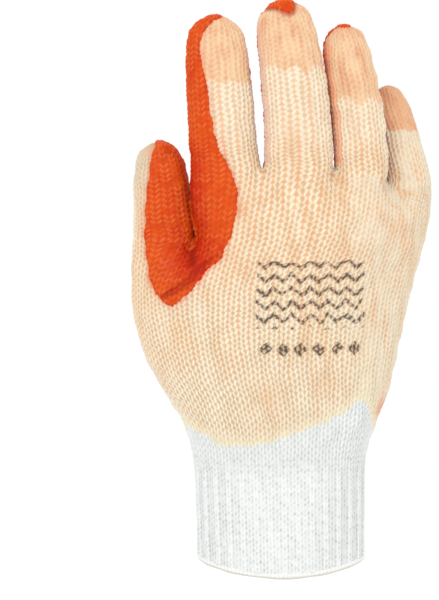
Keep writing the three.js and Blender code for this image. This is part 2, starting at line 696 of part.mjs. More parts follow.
// A band round the wrist between two heights, ribbed outside and plain inside.
function wristBand(heights, { bottomWave, topWave, outerDepth, innerDepth, ribDepth }) {
  const solid = new Solid();
  const weights = columnWeights([THUMB, ...FINGERS], 0);
  const fine = weights.flatMap((weight) => Array(POINTS_PER_RIB).fill(weight / POINTS_PER_RIB));
  const centreLift = (point) => ((point.x * 2) / CUFF_WIDTH) ** 2 * CORNER_RISE;
  const rings = heights.map((share) => {
    const z = mix(bottomWave.z, topWave.z, share);
    const widen = mix(CUFF_TAPER, 1, z / CUFF_TOP);
    const shift = WRIST_OFFSET * (z / CUFF_TOP - 1);
    const place = (list, depthAt) => {
      const section = lowerSection(LOWER_RINGS[0]);
      const points = handSection({ ...section, z }, list);
      const [before, after] = [points.map((_, k) => points.at(k - 1)), points.map((_, k) => points[(k + 1) % points.length])];
      return points.map((point, k) => {
        const along = after[k].clone().sub(before[k]);
        const normal = new THREE.Vector3(along.y, -along.x, 0).normalize();
        const moved = new THREE.Vector3(point.x * widen + shift, point.y * widen, point.z);
        moved.addScaledVector(normal, -depthAt(k));
        moved.z += centreLift(point) * mix(bottomWave.lift, topWave.lift, share);
        return solid.add(moved);
      });
    };
    return {
      outer: place(fine, (k) => outerDepth + (k % POINTS_PER_RIB ? 0 : ribDepth)),
      inner: place(weights, () => innerDepth),
    };
  });
  for (let row = 0; row + 1 < rings.length; row++) {
    const [low, high] = [rings[row], rings[row + 1]];
    low.outer.forEach((id, k) => {
      const next = (k + 1) % low.outer.length;
      solid.quad(id, low.outer[next], high.outer[next], high.outer[k]);
    });
    low.inner.forEach((id, k) => {
      const next = (k + 1) % low.inner.length;
      solid.quad(low.inner[next], id, high.inner[k], high.inner[next]);
    });
  }
  const [bottom, top] = [rings[0], rings[rings.length - 1]];
  bottom.inner.forEach((id, k) => {
    const next = (k + 1) % bottom.inner.length;
    const run = Array.from({ length: POINTS_PER_RIB + 1 }, (_, i) => {
      return (k * POINTS_PER_RIB + i) % bottom.outer.length;
    });
    solid.bridge(run.map((i) => bottom.outer[i]), id, bottom.inner[next]);
    const upper = run.map((i) => top.outer[i]).reverse();
    solid.bridge(upper, top.inner[next], top.inner[k]);
  });
  return solid.geometry();
}

function ribCuff() {
  return wristBand([0, 0.5, 1], {
    bottomWave: { z: EDGE_HEIGHT, lift: 1 },
    topWave: { z: CUFF_TOP - PIECE_GAP, lift: 0 },
    outerDepth: LINER_DEPTH - RIB_DEPTH / 2,
    innerDepth: LINER_DEPTH - RIB_DEPTH / 2 + CUFF_WALL,
    ribDepth: RIB_DEPTH,
  });
}
function cuffEdge() {
  return wristBand([0, 1], {
    bottomWave: { z: 0, lift: 1 },
    topWave: { z: EDGE_HEIGHT - PIECE_GAP, lift: 1 },
    outerDepth: LINER_DEPTH - RIB_DEPTH,
    innerDepth: LINER_DEPTH - RIB_DEPTH + EDGE_WALL,
    ribDepth: 0,
  });
}

const cream = new THREE.MeshStandardMaterial({ color: 0xf4dcbd, roughness: 0.95, metalness: 0 });
const orange = new THREE.MeshStandardMaterial({ color: 0xdf4a1c, roughness: 0.42, metalness: 0 });
const white = new THREE.MeshStandardMaterial({ color: 0xf1f3f5, roughness: 0.95, metalness: 0 });
const thread = new THREE.MeshStandardMaterial({ color: 0xe6e1d8, roughness: 0.9, metalness: 0 });

function piece(name, geometry, material) {
  const mesh = new THREE.Mesh(geometry, material);
  mesh.name = name;
  return mesh;
}

const glove = new THREE.Group();
glove.add(
  piece("knit_liner", knitLiner(), cream),
  piece("latex_coating", latexCoating(), orange),
  piece("rib_cuff", ribCuff(), white),
  piece("cuff_edge", cuffEdge(), thread),
);

export default glove;
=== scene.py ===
import math

import bpy
import numpy as np
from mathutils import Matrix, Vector


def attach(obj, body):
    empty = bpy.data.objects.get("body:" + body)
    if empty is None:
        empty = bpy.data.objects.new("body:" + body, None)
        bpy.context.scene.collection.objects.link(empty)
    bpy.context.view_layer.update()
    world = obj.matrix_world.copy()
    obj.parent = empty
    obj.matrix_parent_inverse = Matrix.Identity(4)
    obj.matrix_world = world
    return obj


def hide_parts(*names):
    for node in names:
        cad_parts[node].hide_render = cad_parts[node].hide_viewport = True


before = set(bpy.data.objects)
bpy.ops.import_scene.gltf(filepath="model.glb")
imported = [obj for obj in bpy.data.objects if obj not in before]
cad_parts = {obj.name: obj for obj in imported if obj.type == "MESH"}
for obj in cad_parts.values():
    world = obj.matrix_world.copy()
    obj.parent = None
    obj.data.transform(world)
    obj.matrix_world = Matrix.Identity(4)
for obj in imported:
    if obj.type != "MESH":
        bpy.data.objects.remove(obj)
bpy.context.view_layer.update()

# The glove is worked out in millimetres, as the CAD is, and its meshes are made in metres.
MM = 0.001
# The yarns and the latex reflect this share of what their screen colours would.
ALBEDO = 0.84


def linear_colour(r, g, b):
    """The linear colour of yarn and latex, and of the light and shade painted on them, from the 0 to 255
    values of a screen.
    """
    values = np.array([r, g, b]) / 255
    return np.where(values <= 0.04045, values / 12.92, ((values + 0.055) / 1.055) ** 2.4) * ALBEDO


# Lengths along the hand, and the sizes of the hand and cuff.
EDGE_HEIGHT = 3
CUFF_TOP = 54
THUMB_CROTCH_HEIGHT = 95
FINGER_CROTCH_HEIGHT = 127
CORNER_RISE = 7
PALM_DEPTH = 37
KNUCKLE_DEPTH = 26
CUFF_WIDTH = 79
CUFF_DEPTH = 44
CUFF_TAPER = 0.975
WRIST_OFFSET = -0.9
LINER_DEPTH = 1.2
KNIT_WALL = 1.8
HAND_SQUARENESS = 2.5
DIGIT_SQUARENESS = 2.25
COLUMNS_PER_DIGIT = 3
FIT_ROUNDS = 12
DOME_RISE = 0.015
THUMB_WIDTH = 29

# Digits from the thumb's side: the root's rise, the sideways lean and the curl towards the palm in shares of
# the length, and the root's sink in shares of the depth.
DIGIT_KEYS = ("name", "length", "width", "depth", "rise", "sink", "lean", "lean_power", "curl", "curl_power")
FINGERS = [dict(zip(DIGIT_KEYS, row)) for row in [
    ("index", 68.5, 30, 21.5, 0, 0.05, -0.075, 0.8, 0.06, 2),
    ("middle", 74, 30, 21.5, 0.015, -0.08, -0.115, 2, 0.08, 2),
    ("ring", 66, 24, 20, -0.03, 0.12, -0.142, 1.7, 0.1, 1.3),
    ("little", 43.5, 20, 19, -0.16, 0.61, -0.262, 1.2, 0.265, 0.85),
]]
THUMB = dict(zip(DIGIT_KEYS, ("thumb", 44.5, THUMB_WIDTH, 26, 0, 0.42, -0.085, 1, -0.02, 1)))
# Rings up a digit: along in shares of its length, width and depth in shares of its own.
FINGER_RINGS = [
    (0, 1.07, 1.04),
    (0.11, 1.03, 1.0),
    (0.33, 1.01, 0.97),
    (0.58, 0.99, 0.95),
    (0.79, 0.92, 0.88),
    (0.93, 0.74, 0.7),
    (0.985, 0.44, 0.4),
]
THUMB_RINGS = [
    (0, 1.04, 1.02),
    (0.2, 0.97, 0.95),
    (0.46, 0.92, 0.89),
    (0.7, 0.83, 0.8),
    (0.89, 0.63, 0.62),
    (0.98, 0.33, 0.34),
]
# Rings up the hand: height, spread to the knuckles' width, how far the thumb's side stands out (in the lower
# rings), depth, how far each side lies towards the palm, and how far the columns follow the fingers' widths.
LOWER_RINGS = [
    (0, 0, 0, 0, 0, 0, 0),
    (0.147, 0.15, 0.15, 0.3, 0.02, 0.01, 0),
    (0.295, 0.33, 0.44, 0.6, 0.08, 0.03, 0.1),
    (0.463, 0.48, 0.73, 0.85, 0.16, 0.06, 0.2),
    (0.642, 0.61, 0.9, 1, 0.22, 0.1, 0.35),
    (0.821, 0.74, 0.93, 1, 0.26, 0.14, 0.5),
]
UPPER_RINGS = [
    (0, 0.9, 0.2, 0.1, 0.17, 0.75),
    (0.5, 1, 0.62, 0.06, 0.19, 0.95),
]
# Folds: side (-1 the back), from and to as (across, up), reach, depth.
FOLDS = [
    (1, (0.02, 0.72), (-0.12, 0.42), 0.15, 0.13),
    (1, (0.34, 0.86), (0.0, 0.56), 0.055, 0.05),
    (1, (-0.36, 0.72), (-0.24, 0.3), 0.06, 0.06),
    (-1, (0.17, 0.98), (0.24, 0.78), 0.045, 0.05),
    (-1, (0.41, 0.92), (0.38, 0.68), 0.05, 0.055),
    (-1, (-0.15, 0.98), (-0.12, 0.84), 0.045, 0.03),
    (-1, (-0.4, 0.72), (-0.33, 0.58), 0.06, 0.06),
]
# The coating's outline on the back and on the palm, as corners (across, up), and across the index and thumb.
BACK_COAT = [
    (-0.522, 0.528), (-0.485, 0.551), (-0.445, 0.585), (-0.418, 0.617), (-0.377, 0.66), (-0.33, 0.69),
    (-0.291, 0.75), (-0.257, 0.843), (-0.25, 0.931), (-0.274, 1), (-0.3, 1.4), (-0.645, 1.4), (-0.64, 0.75),
    (-0.632, 0.687), (-0.616, 0.617), (-0.595, 0.575), (-0.565, 0.545),
]
PALM_COAT = [
    (-0.115, 0.058), (-0.04, 0.062), (0.03, 0.08), (0.1, 0.112), (0.155, 0.15), (0.22, 0.22), (0.285, 0.32),
    (0.345, 0.42), (0.395, 0.53), (0.425, 0.64), (0.45, 0.75), (0.47, 0.87), (0.475, 1), (0.475, 1.4),
    (-0.66, 1.4), (-0.655, 1), (-0.64, 0.75), (-0.622, 0.64), (-0.6, 0.53), (-0.56, 0.42), (-0.505, 0.32),
    (-0.435, 0.22), (-0.37, 0.15), (-0.3, 0.1), (-0.225, 0.07),
]
INDEX_COAT = [(0, 0.14), (0.07, 0.01), (0.14, -0.13), (0.28, -0.27), (0.48, -0.35), (0.64, -0.44),
              (0.8, -0.58), (0.91, -0.5), (1, -0.1)]
THUMB_COAT = [(0, -0.65), (0.12, -0.64), (0.35, -0.59), (0.58, -0.49), (0.76, -0.39), (0.9, -0.28), (1, -0.2)]
LITTLE_COAT_ACROSS = 0.32
# In millimetres: how far towards the palm the coating's edge lies on the thumb's side and the other side of
# each finger, and over its tip how far down it comes on each side, how far across, and how round its corner.
SIDE_COAT = dict(index=(0, 2.6), middle=(1.6, 2.6), ring=(1.4, 3.2), little=(2.2, 2.6))
TIP_COAT = dict(index=(2, 2, 10), middle=(3.6, 6.8, 7.6), ring=(1.8, 1.9, 8), little=(-3, -3, 9))
TIP_ROUNDING = 5

# The knit: each column of the net is two stitches wide. Pitches are the heights of a stitch.
WALES_PER_COLUMN = 2
HAND_COURSE = 2.6
DIGIT_COURSE = 2.4
CUFF_COURSE = 2.5
LEAN_TOP = 0.72
STRAND_SWAY = 0.22
STRAND_WIDTH = 0.26
STITCH_RELIEF = 0.75
KNIT_SINK = 0.1
SIDE_SWELL = 0.45
COAT_RELIEF = 0.5
COAT_THICKNESS = 0.95
COAT_LIP = 1.1
COAT_RISE_MOST = 0.45
EDGE_WOBBLE = 0.35
SUBDIVISIONS = 3
# How far under the coating the knit goes on.
HIDDEN_DEPTH = 1.5
# Points for each stitch across and up, and round the outlines, the lining and the bound edge.
KNIT_SAMPLES = (10, 5)
COAT_SAMPLES = (6, 4)
CUFF_SAMPLES = (8, 4)
CUFF_WALES = 64
OUTLINE_SAMPLES = 240
WRIST_SAMPLES = 256
LINING_SAMPLES = (128, 12)
CUFF_WALL = 1.9
EDGE_TURNS = 110
EDGE_SAMPLES = (8, 14)
EDGE_RADIUS = 1.26
EDGE_MIDDLE = 1.45

# The crumpled fold of latex in the thumb's web, as places (x, z) in millimetres, on the back.
WEB_FOLD = [(-53.5, 126.0), (-47.4, 128.9), (-40.7, 133.9), (-37.6, 139.2), (-33.6, 142.0)]
# The bottom of the crease between the thumb and the index finger, as places (x, z), and how far the painted
# shadow line along it and the painted shade around it reach.
WEB_CREASE = [(-42.9, 189), (-41.8, 172), (-40.4, 160), (-39.0, 150), (-40.0, 145), (-39.6, 140)]
CREASE_SHADOW_REACH = 1.7
VALLEY_SHADE_REACH = 6.5

# Colours.
CREAM = linear_colour(252, 238, 210)
YELLOW_CREAM = linear_colour(252, 243, 222)
PEACH = linear_colour(236, 182, 134)
# The tan of the painted shade in the knit's holes and furrows.
TAN_SHADE = linear_colour(218, 188, 146)
TIP = linear_colour(243, 202, 158)
WHITE = linear_colour(246, 247, 244)
WHITE_SHADE = linear_colour(198, 204, 204)
TIP_STREAK = linear_colour(230, 162, 120)
THUMB_GREY = linear_colour(220, 200, 172)
STAIN = linear_colour(238, 140, 104)
WRIST_ORANGE = linear_colour(242, 126, 74)
SEAM = linear_colour(238, 190, 166)
SEAM_BRIGHT = linear_colour(255, 176, 134)
ORANGE = linear_colour(227, 91, 26)
# Painted light on the latex and beside it: the orange in shade, a dark red shadow line, and a highlight.
SHADED_ORANGE = linear_colour(200, 44, 16)
SHADOW_RED = linear_colour(140, 38, 24)
GLINT = linear_colour(253, 146, 94)
SIDE_CREAM = linear_colour(243, 229, 204)
PALM_CREAM = linear_colour(250, 240, 208)
THREAD = linear_colour(232, 224, 208)
INK = linear_colour(52, 46, 48)

# Where the knit turns white above the cuff, on the back: shares of the knuckles' width, and millimetres up.
WHITE_LINE = [(-0.52, 69.5), (-0.48, 68.5), (-0.4, 64.4), (-0.35, 62.2), (-0.29, 59.9), (-0.2, 60),
              (-0.12, 61.2), (-0.07, 63.8), (0, 66), (0.06, 68.6), (0.12, 71.2), (0.19, 75), (0.232, 78.5),
              (0.257, 80), (0.294, 77.5), (0.312, 69), (0.33, 65)]
WHITE_LINE_PALM = 61
# A stain where the coating's foot comes round the side of the wrist: place across and up, width and height.
WRIST_STAIN = (45.5, 73, 2.2, 7)
# Warm patches on the back of the hand: place across and up, width, height and strength.
BLUSHES = [(52, 161, 10, 12, 0.35), (28, 176, 7, 10, 0.35), (58, 140, 9, 22, 0.2), (-20, 168, 9, 8, 0.3),
           (-7, 79, 9, 10, 0.3), (5, 190, 7, 14, 0.3), (16, 84, 5, 12, 0.25), (40, 110, 8, 12, 0.2)]
# Tinted seams: colour, how far across they begin, strength, and from where to where along the finger.
SIDE_STRIPS = dict(middle=(SEAM, -0.85, 0.75, 0.02, 0.9), ring=(SEAM_BRIGHT, -0.74, 0.7, 0.05, 0.9))
# The ornament on the back of the hand, in place of a print.
PRINT_X = 12.5
PRINT_Z = 112
PRINT_HALF_WIDTH = 24
PRINT_PITCH = 8
PRINT_ROW = 6
PRINT_ROWS = 5
PRINT_DIAMOND = 3.2
# The height above each digit's crotch from which the tip is tinted, in shares of its length.
TINTED_TIPS = dict(index=0.57, middle=0.6, ring=0.5, little=0.55, thumb=0.9)

# The stage, in metres, the camera's elevation in degrees, and each light's name, place, aim, size and power.
FLOOR_HEIGHT = -0.3
FLOOR_REACH = 60
WORLD_LIGHT = 1.03
CAMERA_DISTANCE = 1.8
CAMERA_ELEVATION = 6
FRAME_HEIGHT = 0.2682
CAMERA_AIM = (-0.0277, 0, 0.1231)
LIGHTS = [
    ("key", (-0.7, -1.2, 1.3), (0, 0, 0.12), (0.7, 0.7), 9),
    ("fill", (1.1, -1.0, 0.5), (0, 0, 0.12), (1.0, 1.0), 2.5),
    ("rim", (0.3, 1.0, 1.1), (0, 0, 0.15), (0.8, 0.5), 3),
]


def mix(a, b, share):
    return a + (b - a) * share


def smoothstep(low, high, value):
    share = np.clip((value - low) / (high - low), 0, 1)
    return share * share * (3 - 2 * share)


def bell(value, width):
    return np.exp(-(value / width) ** 2)


def spot(points, place_x, place_z, wide, high):
    """1 at a place on the hand, fading away from it."""
    return np.exp(-((points[:, 0] - place_x) / wide) ** 2 - ((points[:, 2] - place_z) / high) ** 2)


def read(table, place):
    """The value at a place between the pairs of a table."""
    return np.interp(place, *np.array(table).T)


def blend(a, b, share):
    return a + (b - a) * np.asarray(share)[:, None]


def quads_of(ids):
    """Quads between neighbours in a grid of points, or in several grids."""
    corners = [ids[..., :-1, :-1], ids[..., 1:, :-1], ids[..., 1:, 1:], ids[..., :-1, 1:]]
    return np.stack(corners, -1).reshape(-1, 4)


def signed_power(value, power):
    return np.sign(value) * np.abs(value) ** power


def unit(vectors):
    return vectors / np.linalg.norm(vectors, axis=-1, keepdims=True)


def wobble(points, wavelength, seed):
    """Smooth noise between about -1 and 1 at points, the same each run."""
    rng = np.random.default_rng(seed)
    waves = 9
    direction = rng.normal(size=(waves, 3))
    direction /= np.linalg.norm(direction, axis=1)[:, None]
    size = wavelength * rng.uniform(0.6, 1.6, waves)
    phase = rng.uniform(0, 2 * math.pi, waves)
    total = np.zeros(len(points))
    for k in range(waves):
        total += np.sin(points @ direction[k] * (2 * math.pi / size[k]) + phase[k])
    return total / math.sqrt(waves)


def place_fingers():
    nesting = (1, 0.975, 0.905)
    root = FINGER_RINGS[0][1]
    index, middle, ring, little = FINGERS
    middle["x"] = (middle["width"] + index["width"]) / 8
    index["x"] = middle["x"] - (index["width"] + middle["width"]) / 2 * root * nesting[0]
    ring["x"] = middle["x"] + (middle["width"] + ring["width"]) / 2 * root * nesting[1]
    little["x"] = ring["x"] + (ring["width"] + little["width"]) / 2 * root * nesting[2]
    for finger in FINGERS:
        finger["z"] = CUFF_TOP + FINGER_CROTCH_HEIGHT + finger["rise"] * finger["length"]
        finger["rings"] = FINGER_RINGS


place_fingers()
MIDDLE_X = FINGERS[1]["x"]
KNUCKLE_LEFT = FINGERS[0]["x"] - FINGERS[0]["width"] * FINGER_RINGS[0][1] / 2
KNUCKLE_RIGHT = FINGERS[3]["x"] + FINGERS[3]["width"] * FINGER_RINGS[0][1] / 2
KNUCKLE_WIDTH = KNUCKLE_RIGHT - KNUCKLE_LEFT
THUMB["x"] = KNUCKLE_LEFT + THUMB_WIDTH * (0.13 - THUMB_RINGS[0][1] / 2)
THUMB["z"] = CUFF_TOP + THUMB_CROTCH_HEIGHT
THUMB["rings"] = THUMB_RINGS
DIGITS = {digit["name"]: digit for digit in [THUMB, *FINGERS]}


def digit_centre(digit, along):
    along = np.asarray(along, float)
    x = digit["x"] + digit["lean"] * digit["length"] * along ** digit["lean_power"]
    y = digit["sink"] * digit["depth"] + digit["curl"] * digit["length"] * along ** digit["curl_power"]
    return np.stack([x, y, digit["z"] + digit["length"] * along], -1)


def digit_frame(digit, along):
    """The directions across a digit there: side to +X, and front to the palm."""
    along = np.asarray(along, float)
    step = 0.05
    low = np.maximum(0, along - step)
    up = unit(digit_centre(digit, low + 2 * step) - digit_centre(digit, low))
    share = (1 - np.clip(along * 4, 0, 1))[..., None]
    up = unit(mix(up, np.array([0, 0, 1.0]), share))
    side = unit(np.array([1.0, 0, 0]) - up * up[..., :1])
    return side, np.cross(up, side)


def digit_ring(digit, ring, is_last=False):
    along, width, depth = ring
    count = 2 * COLUMNS_PER_DIGIT + 2
    angle = (np.arange(count) + 0.5) / count * 2 * math.pi - math.pi / 2
    power = 2 / DIGIT_SQUARENESS
    across = signed_power(np.sin(angle), power) * width * digit["width"] / 2
    forward = -signed_power(np.cos(angle), power) * depth * digit["depth"] / 2
    side, front = digit_frame(digit, along)
    points = digit_centre(digit, along) + across[:, None] * side + forward[:, None] * front
    if is_last:
        points[np.abs(np.sin(angle)) < 0.7, 2] += DOME_RISE * digit["length"]
    return points


def hand_section(left, right, depth, thumb_sink, little_sink, z, weights):
    """Points round an oblong, spaced by the columns' widths. Its sides sink by shares of the palm's depth."""
    centre = (left + right) / 2
    half = (right - left) / 2
    power = 2 / HAND_SQUARENESS
    angle = np.arange(OUTLINE_SAMPLES + 1) / OUTLINE_SAMPLES * 2 * math.pi
    x = centre - half * signed_power(np.cos(angle), power)
    y = -depth / 2 * signed_power(np.sin(angle), power)
    off = (x - centre) / half
    y = y + np.where(off < 0, thumb_sink, little_sink) * PALM_DEPTH * off ** 2
    outline = np.stack([x, y, np.full_like(x, z)], 1)
    reach = np.concatenate([[0], np.cumsum(np.linalg.norm(np.diff(outline, axis=0), axis=1))])
    weights = np.array(weights, float)
    wanted = (weights[-1] / 2 + np.concatenate([[0], np.cumsum(weights)[:-1]])) / weights.sum() * reach[-1]
    return np.stack([np.interp(wanted, reach, outline[:, k]) for k in range(3)], 1)


def column_weights(digits, fan):
    mean = sum(finger["width"] for finger in FINGERS) / len(FINGERS)
    back = []
    for digit in digits:
        own = 1 if digit is THUMB else digit["width"] / mean
        back += [mix(1, own, fan)] * COLUMNS_PER_DIGIT
    return [*back, 1, *reversed(back), 1]


def lower_ring(row):
    height, spread, thumb, deep, thumb_sink, little_sink, fan = row
    left = mix(WRIST_OFFSET - CUFF_WIDTH / 2, KNUCKLE_LEFT, spread) - thumb * THUMB_WIDTH
    right = mix(WRIST_OFFSET + CUFF_WIDTH / 2, KNUCKLE_RIGHT, spread)
    depth = mix(CUFF_DEPTH, PALM_DEPTH, deep)
    weights = column_weights([THUMB, *FINGERS], fan)
    z = CUFF_TOP + THUMB_CROTCH_HEIGHT * height
    return hand_section(left, right, depth, thumb_sink, little_sink, z, weights)


def upper_ring(row):
    height, spread, thin, thumb_sink, little_sink, fan = row
    right = mix(WRIST_OFFSET + CUFF_WIDTH / 2, KNUCKLE_RIGHT, spread)
    depth = mix(PALM_DEPTH, KNUCKLE_DEPTH, thin)
    z = CUFF_TOP + mix(THUMB_CROTCH_HEIGHT, FINGER_CROTCH_HEIGHT, height)
    weights = column_weights(FINGERS, fan)
    return hand_section(KNUCKLE_LEFT, right, depth, thumb_sink, little_sink, z, weights)


def parting_ring(rings):
    """The ring where digits part, with each shared corner halfway between two neighbours."""
    half = [len(ring) // 2 for ring in rings]

    def merge(rows):
        merged = list(rows[0])
        for row in rows[1:]:
            shared = (merged.pop() + row[0]) / 2
            merged += [shared, *row[1:]]
        return merged

    backs = merge([ring[:n] for ring, n in zip(rings, half)])
    fronts = merge([ring[n:][::-1] for ring, n in zip(rings, half)])
    return np.array([*backs, *reversed(fronts)])


class Cage:
    """The net that the surface goes through. Each quad knows the rows of stitches in it."""

    def __init__(self):
        self.points = []
        self.quads = []
        self.rows = []

    def ring(self, points):
        first = len(self.points)
        self.points += [np.array(p, float) for p in points]
        return list(range(first, len(self.points)))

    def quad(self, corners, part, start, courses):
        self.quads.append(corners)
        self.rows.append((part, start, courses))

    def join(self, low, high, part, start, courses):
        for k, point in enumerate(low):
            after = (k + 1) % len(low)
            self.quad([point, low[after], high[after], high[k]], part, start, courses)
        return start + courses

    def digit(self, digit, loop, start):
        rings = digit["rings"]
        for row in range(1, len(rings)):
            nodes = self.ring(digit_ring(digit, rings[row], row == len(rings) - 1))
            rise = (rings[row][0] - rings[row - 1][0]) * digit["length"]
            courses = max(1, round(rise * 1.05 / DIGIT_COURSE))
            start = self.join(loop, nodes, digit["name"], start, courses)
            loop = nodes
        for k in range(COLUMNS_PER_DIGIT):
            corners = [loop[k], loop[k + 1], loop[-2 - k], loop[-1 - k]]
            self.quad(corners, digit["name"], start, 3)


def sub_loop(loop, first, last):
    return loop[first:last + 1] + loop[len(loop) - 1 - last:len(loop) - first]


def build_cage():
    cage = Cage()
    start = 0
    loop = cage.ring(lower_ring(LOWER_RINGS[0]))
    heights = [row[0] * THUMB_CROTCH_HEIGHT for row in LOWER_RINGS] + [THUMB_CROTCH_HEIGHT]
    for k, row in enumerate(LOWER_RINGS[1:]):
        nodes = cage.ring(lower_ring(row))
        start = cage.join(loop, nodes, "hand", start, round((heights[k + 1] - heights[k]) / HAND_COURSE))
        loop = nodes
    parting = cage.ring(parting_ring([digit_ring(THUMB, THUMB_RINGS[0]), upper_ring(UPPER_RINGS[0])]))
    start = cage.join(loop, parting, "hand", start, round((heights[-1] - heights[-2]) / HAND_COURSE))
    cage.digit(THUMB, sub_loop(parting, 0, COLUMNS_PER_DIGIT), start)
    loop = sub_loop(parting, COLUMNS_PER_DIGIT, len(parting) // 2 - 1)
    step = (FINGER_CROTCH_HEIGHT - THUMB_CROTCH_HEIGHT) / 2
    for row in UPPER_RINGS[1:]:
        nodes = cage.ring(upper_ring(row))
        start = cage.join(loop, nodes, "hand", start, round(step / HAND_COURSE))
        loop = nodes
    knuckles = cage.ring(parting_ring([digit_ring(finger, FINGER_RINGS[0]) for finger in FINGERS]))
    start = cage.join(loop, knuckles, "hand", start, round(step / HAND_COURSE))
    for i, finger in enumerate(FINGERS):
        first = i * COLUMNS_PER_DIGIT
        cage.digit(finger, sub_loop(knuckles, first, first + COLUMNS_PER_DIGIT), start)
    return cage


class Net:
    """Which points of a quad mesh lie next to each other."""

    def __init__(self, quads, count):
        self.quads = quads
        pairs = np.sort(np.stack([quads, np.roll(quads, -1, 1)], 2).reshape(-1, 2), 1)
        self.edges, inverse, uses = np.unique(pairs, axis=0, return_inverse=True, return_counts=True)
        self.edge_of = inverse.reshape(-1, 4)
        self.rim_edges = self.edges[uses == 1]
        self.inner = uses == 2
        self.valence = np.bincount(self.edges.ravel(), minlength=count).astype(float)
        self.rim = np.bincount(self.rim_edges.ravel(), minlength=count) > 0
        self.count = count

    def edge_sum(self, points, edges):
        total = np.zeros_like(points)
        np.add.at(total, edges[:, 0], points[edges[:, 1]])
        np.add.at(total, edges[:, 1], points[edges[:, 0]])
        return total

    def limit(self, points):
        """Where Catmull-Clark subdivision leads each point."""
        near = self.edge_sum(points, self.edges)
        far = np.zeros_like(points)
        for k in range(4):
            np.add.at(far, self.quads[:, k], points[self.quads[:, (k + 2) % 4]])
        n = self.valence[:, None]
        inside = (points * n * n + near * 4 + far) / (n * (n + 5))
        border = (points * 4 + self.edge_sum(points, self.rim_edges)) / 6
        return np.where(self.rim[:, None], border, inside)

    def subdivide(self, points):
        """The points and quads after one step. Each new quad keeps its parent's direction."""
        centres = points[self.quads].mean(1)
        ends = points[self.edges].sum(1)
        beside = np.zeros_like(ends)
        np.add.at(beside, self.edge_of.ravel(), np.repeat(centres, 4, 0))
        middles = np.where(self.inner[:, None], (ends + beside) / 4, ends / 2)
        n = self.valence[:, None]
        faces = np.zeros_like(points)
        for k in range(4):
            np.add.at(faces, self.quads[:, k], centres)
        inside = (faces / n + self.edge_sum(points, self.edges) / n + points * (n - 2)) / n
        border = (self.edge_sum(points, self.rim_edges) + points * 6) / 8
        moved = np.where(self.rim[:, None], border, inside)
        a, b, c, d = self.quads.T
        ab, bc, cd, da = (self.edge_of + self.count).T
        m = np.arange(len(self.quads)) + self.count + len(self.edges)
        children = [[a, ab, m, da], [ab, b, bc, m], [da, m, cd, d], [m, bc, c, cd]]
        quads = np.stack([np.stack(child, 1) for child in children], 1)
        return np.concatenate([moved, middles, centres]), quads.reshape(-1, 4)


def normals_of(points, quads):
    a, b, c, d = (points[quads[:, k]] for k in range(4))
    cross = np.cross(c - a, d - b)
    total = np.zeros_like(points)
    for k in range(4):
        np.add.at(total, quads[:, k], cross)
    return unit(total)


def hand_shares(points):
    """How far points lie across the knuckles from the middle finger, and up from the cuff, in shares."""
    return (points[:, 0] - MIDDLE_X) / KNUCKLE_WIDTH, (points[:, 2] - CUFF_TOP) / FINGER_CROTCH_HEIGHT


def fold_depth(points, normals):
    across, up = hand_shares(points)
    stretch = FINGER_CROTCH_HEIGHT / KNUCKLE_WIDTH
    depth = np.zeros(len(points))
    for side, start, end, reach, deep in FOLDS:
        run = np.array([end[0] - start[0], (end[1] - start[1]) * stretch])
        rise = np.stack([across - start[0], (up - start[1]) * stretch], 1)
        share = np.clip(rise @ run / (run @ run), 0, 1)
        away = np.linalg.norm(rise - share[:, None] * run, axis=1)
        facing = np.clip(normals[:, 1] * side, 0, 1)
        depth += facing * deep * PALM_DEPTH * bell(away, reach) * (1 - 0.4 * share)
    return depth


class Surface:
    """The glove's outermost surface as a fine grid of points in each quad of the cage."""

    def __init__(self, cage):
        quads = np.array(cage.quads)
        wanted = np.array(cage.points)
        net = Net(quads, len(wanted))
        points = wanted.copy()
        for _ in range(FIT_ROUNDS):
            points += wanted - net.limit(points)
        self.side = 2 ** SUBDIVISIONS
        cells = np.zeros((len(quads), 1, 1), int) + np.arange(len(quads))[:, None, None]
        for _ in range(SUBDIVISIONS):
            points, quads = net.subdivide(points)
            net = Net(quads, len(points))
            cells = self.split(cells)
        points = net.limit(points)
        flat = normals_of(points, quads)
        points = points - flat * fold_depth(points, flat)[:, None]
        self.points = points
        self.normals = normals_of(points, quads)
        n = self.side
        grid = np.zeros((len(cage.quads), n + 1, n + 1), int)
        corners = quads[cells]
        for k, (i, j) in enumerate([(0, 0), (1, 0), (1, 1), (0, 1)]):
            grid[:, i:i + n, j:j + n] = corners[..., k]
        self.grid = grid
        self.parts, self.start, self.courses = (np.array(column) for column in zip(*cage.rows))

    @staticmethod
    def split(cells):
        """Four children for each cell, in a grid twice as fine: first across, then up."""
        count, n, _ = cells.shape
        fine = np.zeros((count, 2 * n, 2 * n), int)
        for across in (0, 1):
            for up in (0, 1):
                fine[:, across::2, up::2] = cells * 4 + across + 2 * up
        return fine

    def sample(self, quad, across, course):
        """Points and normals at places across a quad of the cage, at heights counted in courses."""
        up = np.clip((course - self.start[quad]) / self.courses[quad], 0, 1) * self.side
        across = np.clip(across, 0, 1) * self.side
        i = np.minimum(across.astype(int), self.side - 1)
        j = np.minimum(up.astype(int), self.side - 1)
        u = (across - i)[..., None]
        v = (up - j)[..., None]
        ids = [self.grid[quad, i, j], self.grid[quad, i + 1, j],
               self.grid[quad, i + 1, j + 1], self.grid[quad, i, j + 1]]
        weights = [(1 - u) * (1 - v), u * (1 - v), u * v, (1 - u) * v]
        points = sum(self.points[k] * w for k, w in zip(ids, weights))
        normals = sum(self.normals[k] * w for k, w in zip(ids, weights))
        return points, unit(normals)


def to_stretch(x, z, start, end):
    """The distance from points to the straight stretch between two places."""
    (ax, az), (bx, bz) = start, end
    length = (bx - ax) ** 2 + (bz - az) ** 2
    share = np.clip(((x - ax) * (bx - ax) + (z - az) * (bz - az)) / length, 0, 1)
    return np.hypot(x - mix(ax, bx, share), z - mix(az, bz, share))


def near_path(points, path):
    return np.min([to_stretch(points[:, 0], points[:, 2], *ends) for ends in zip(path, path[1:])], axis=0)


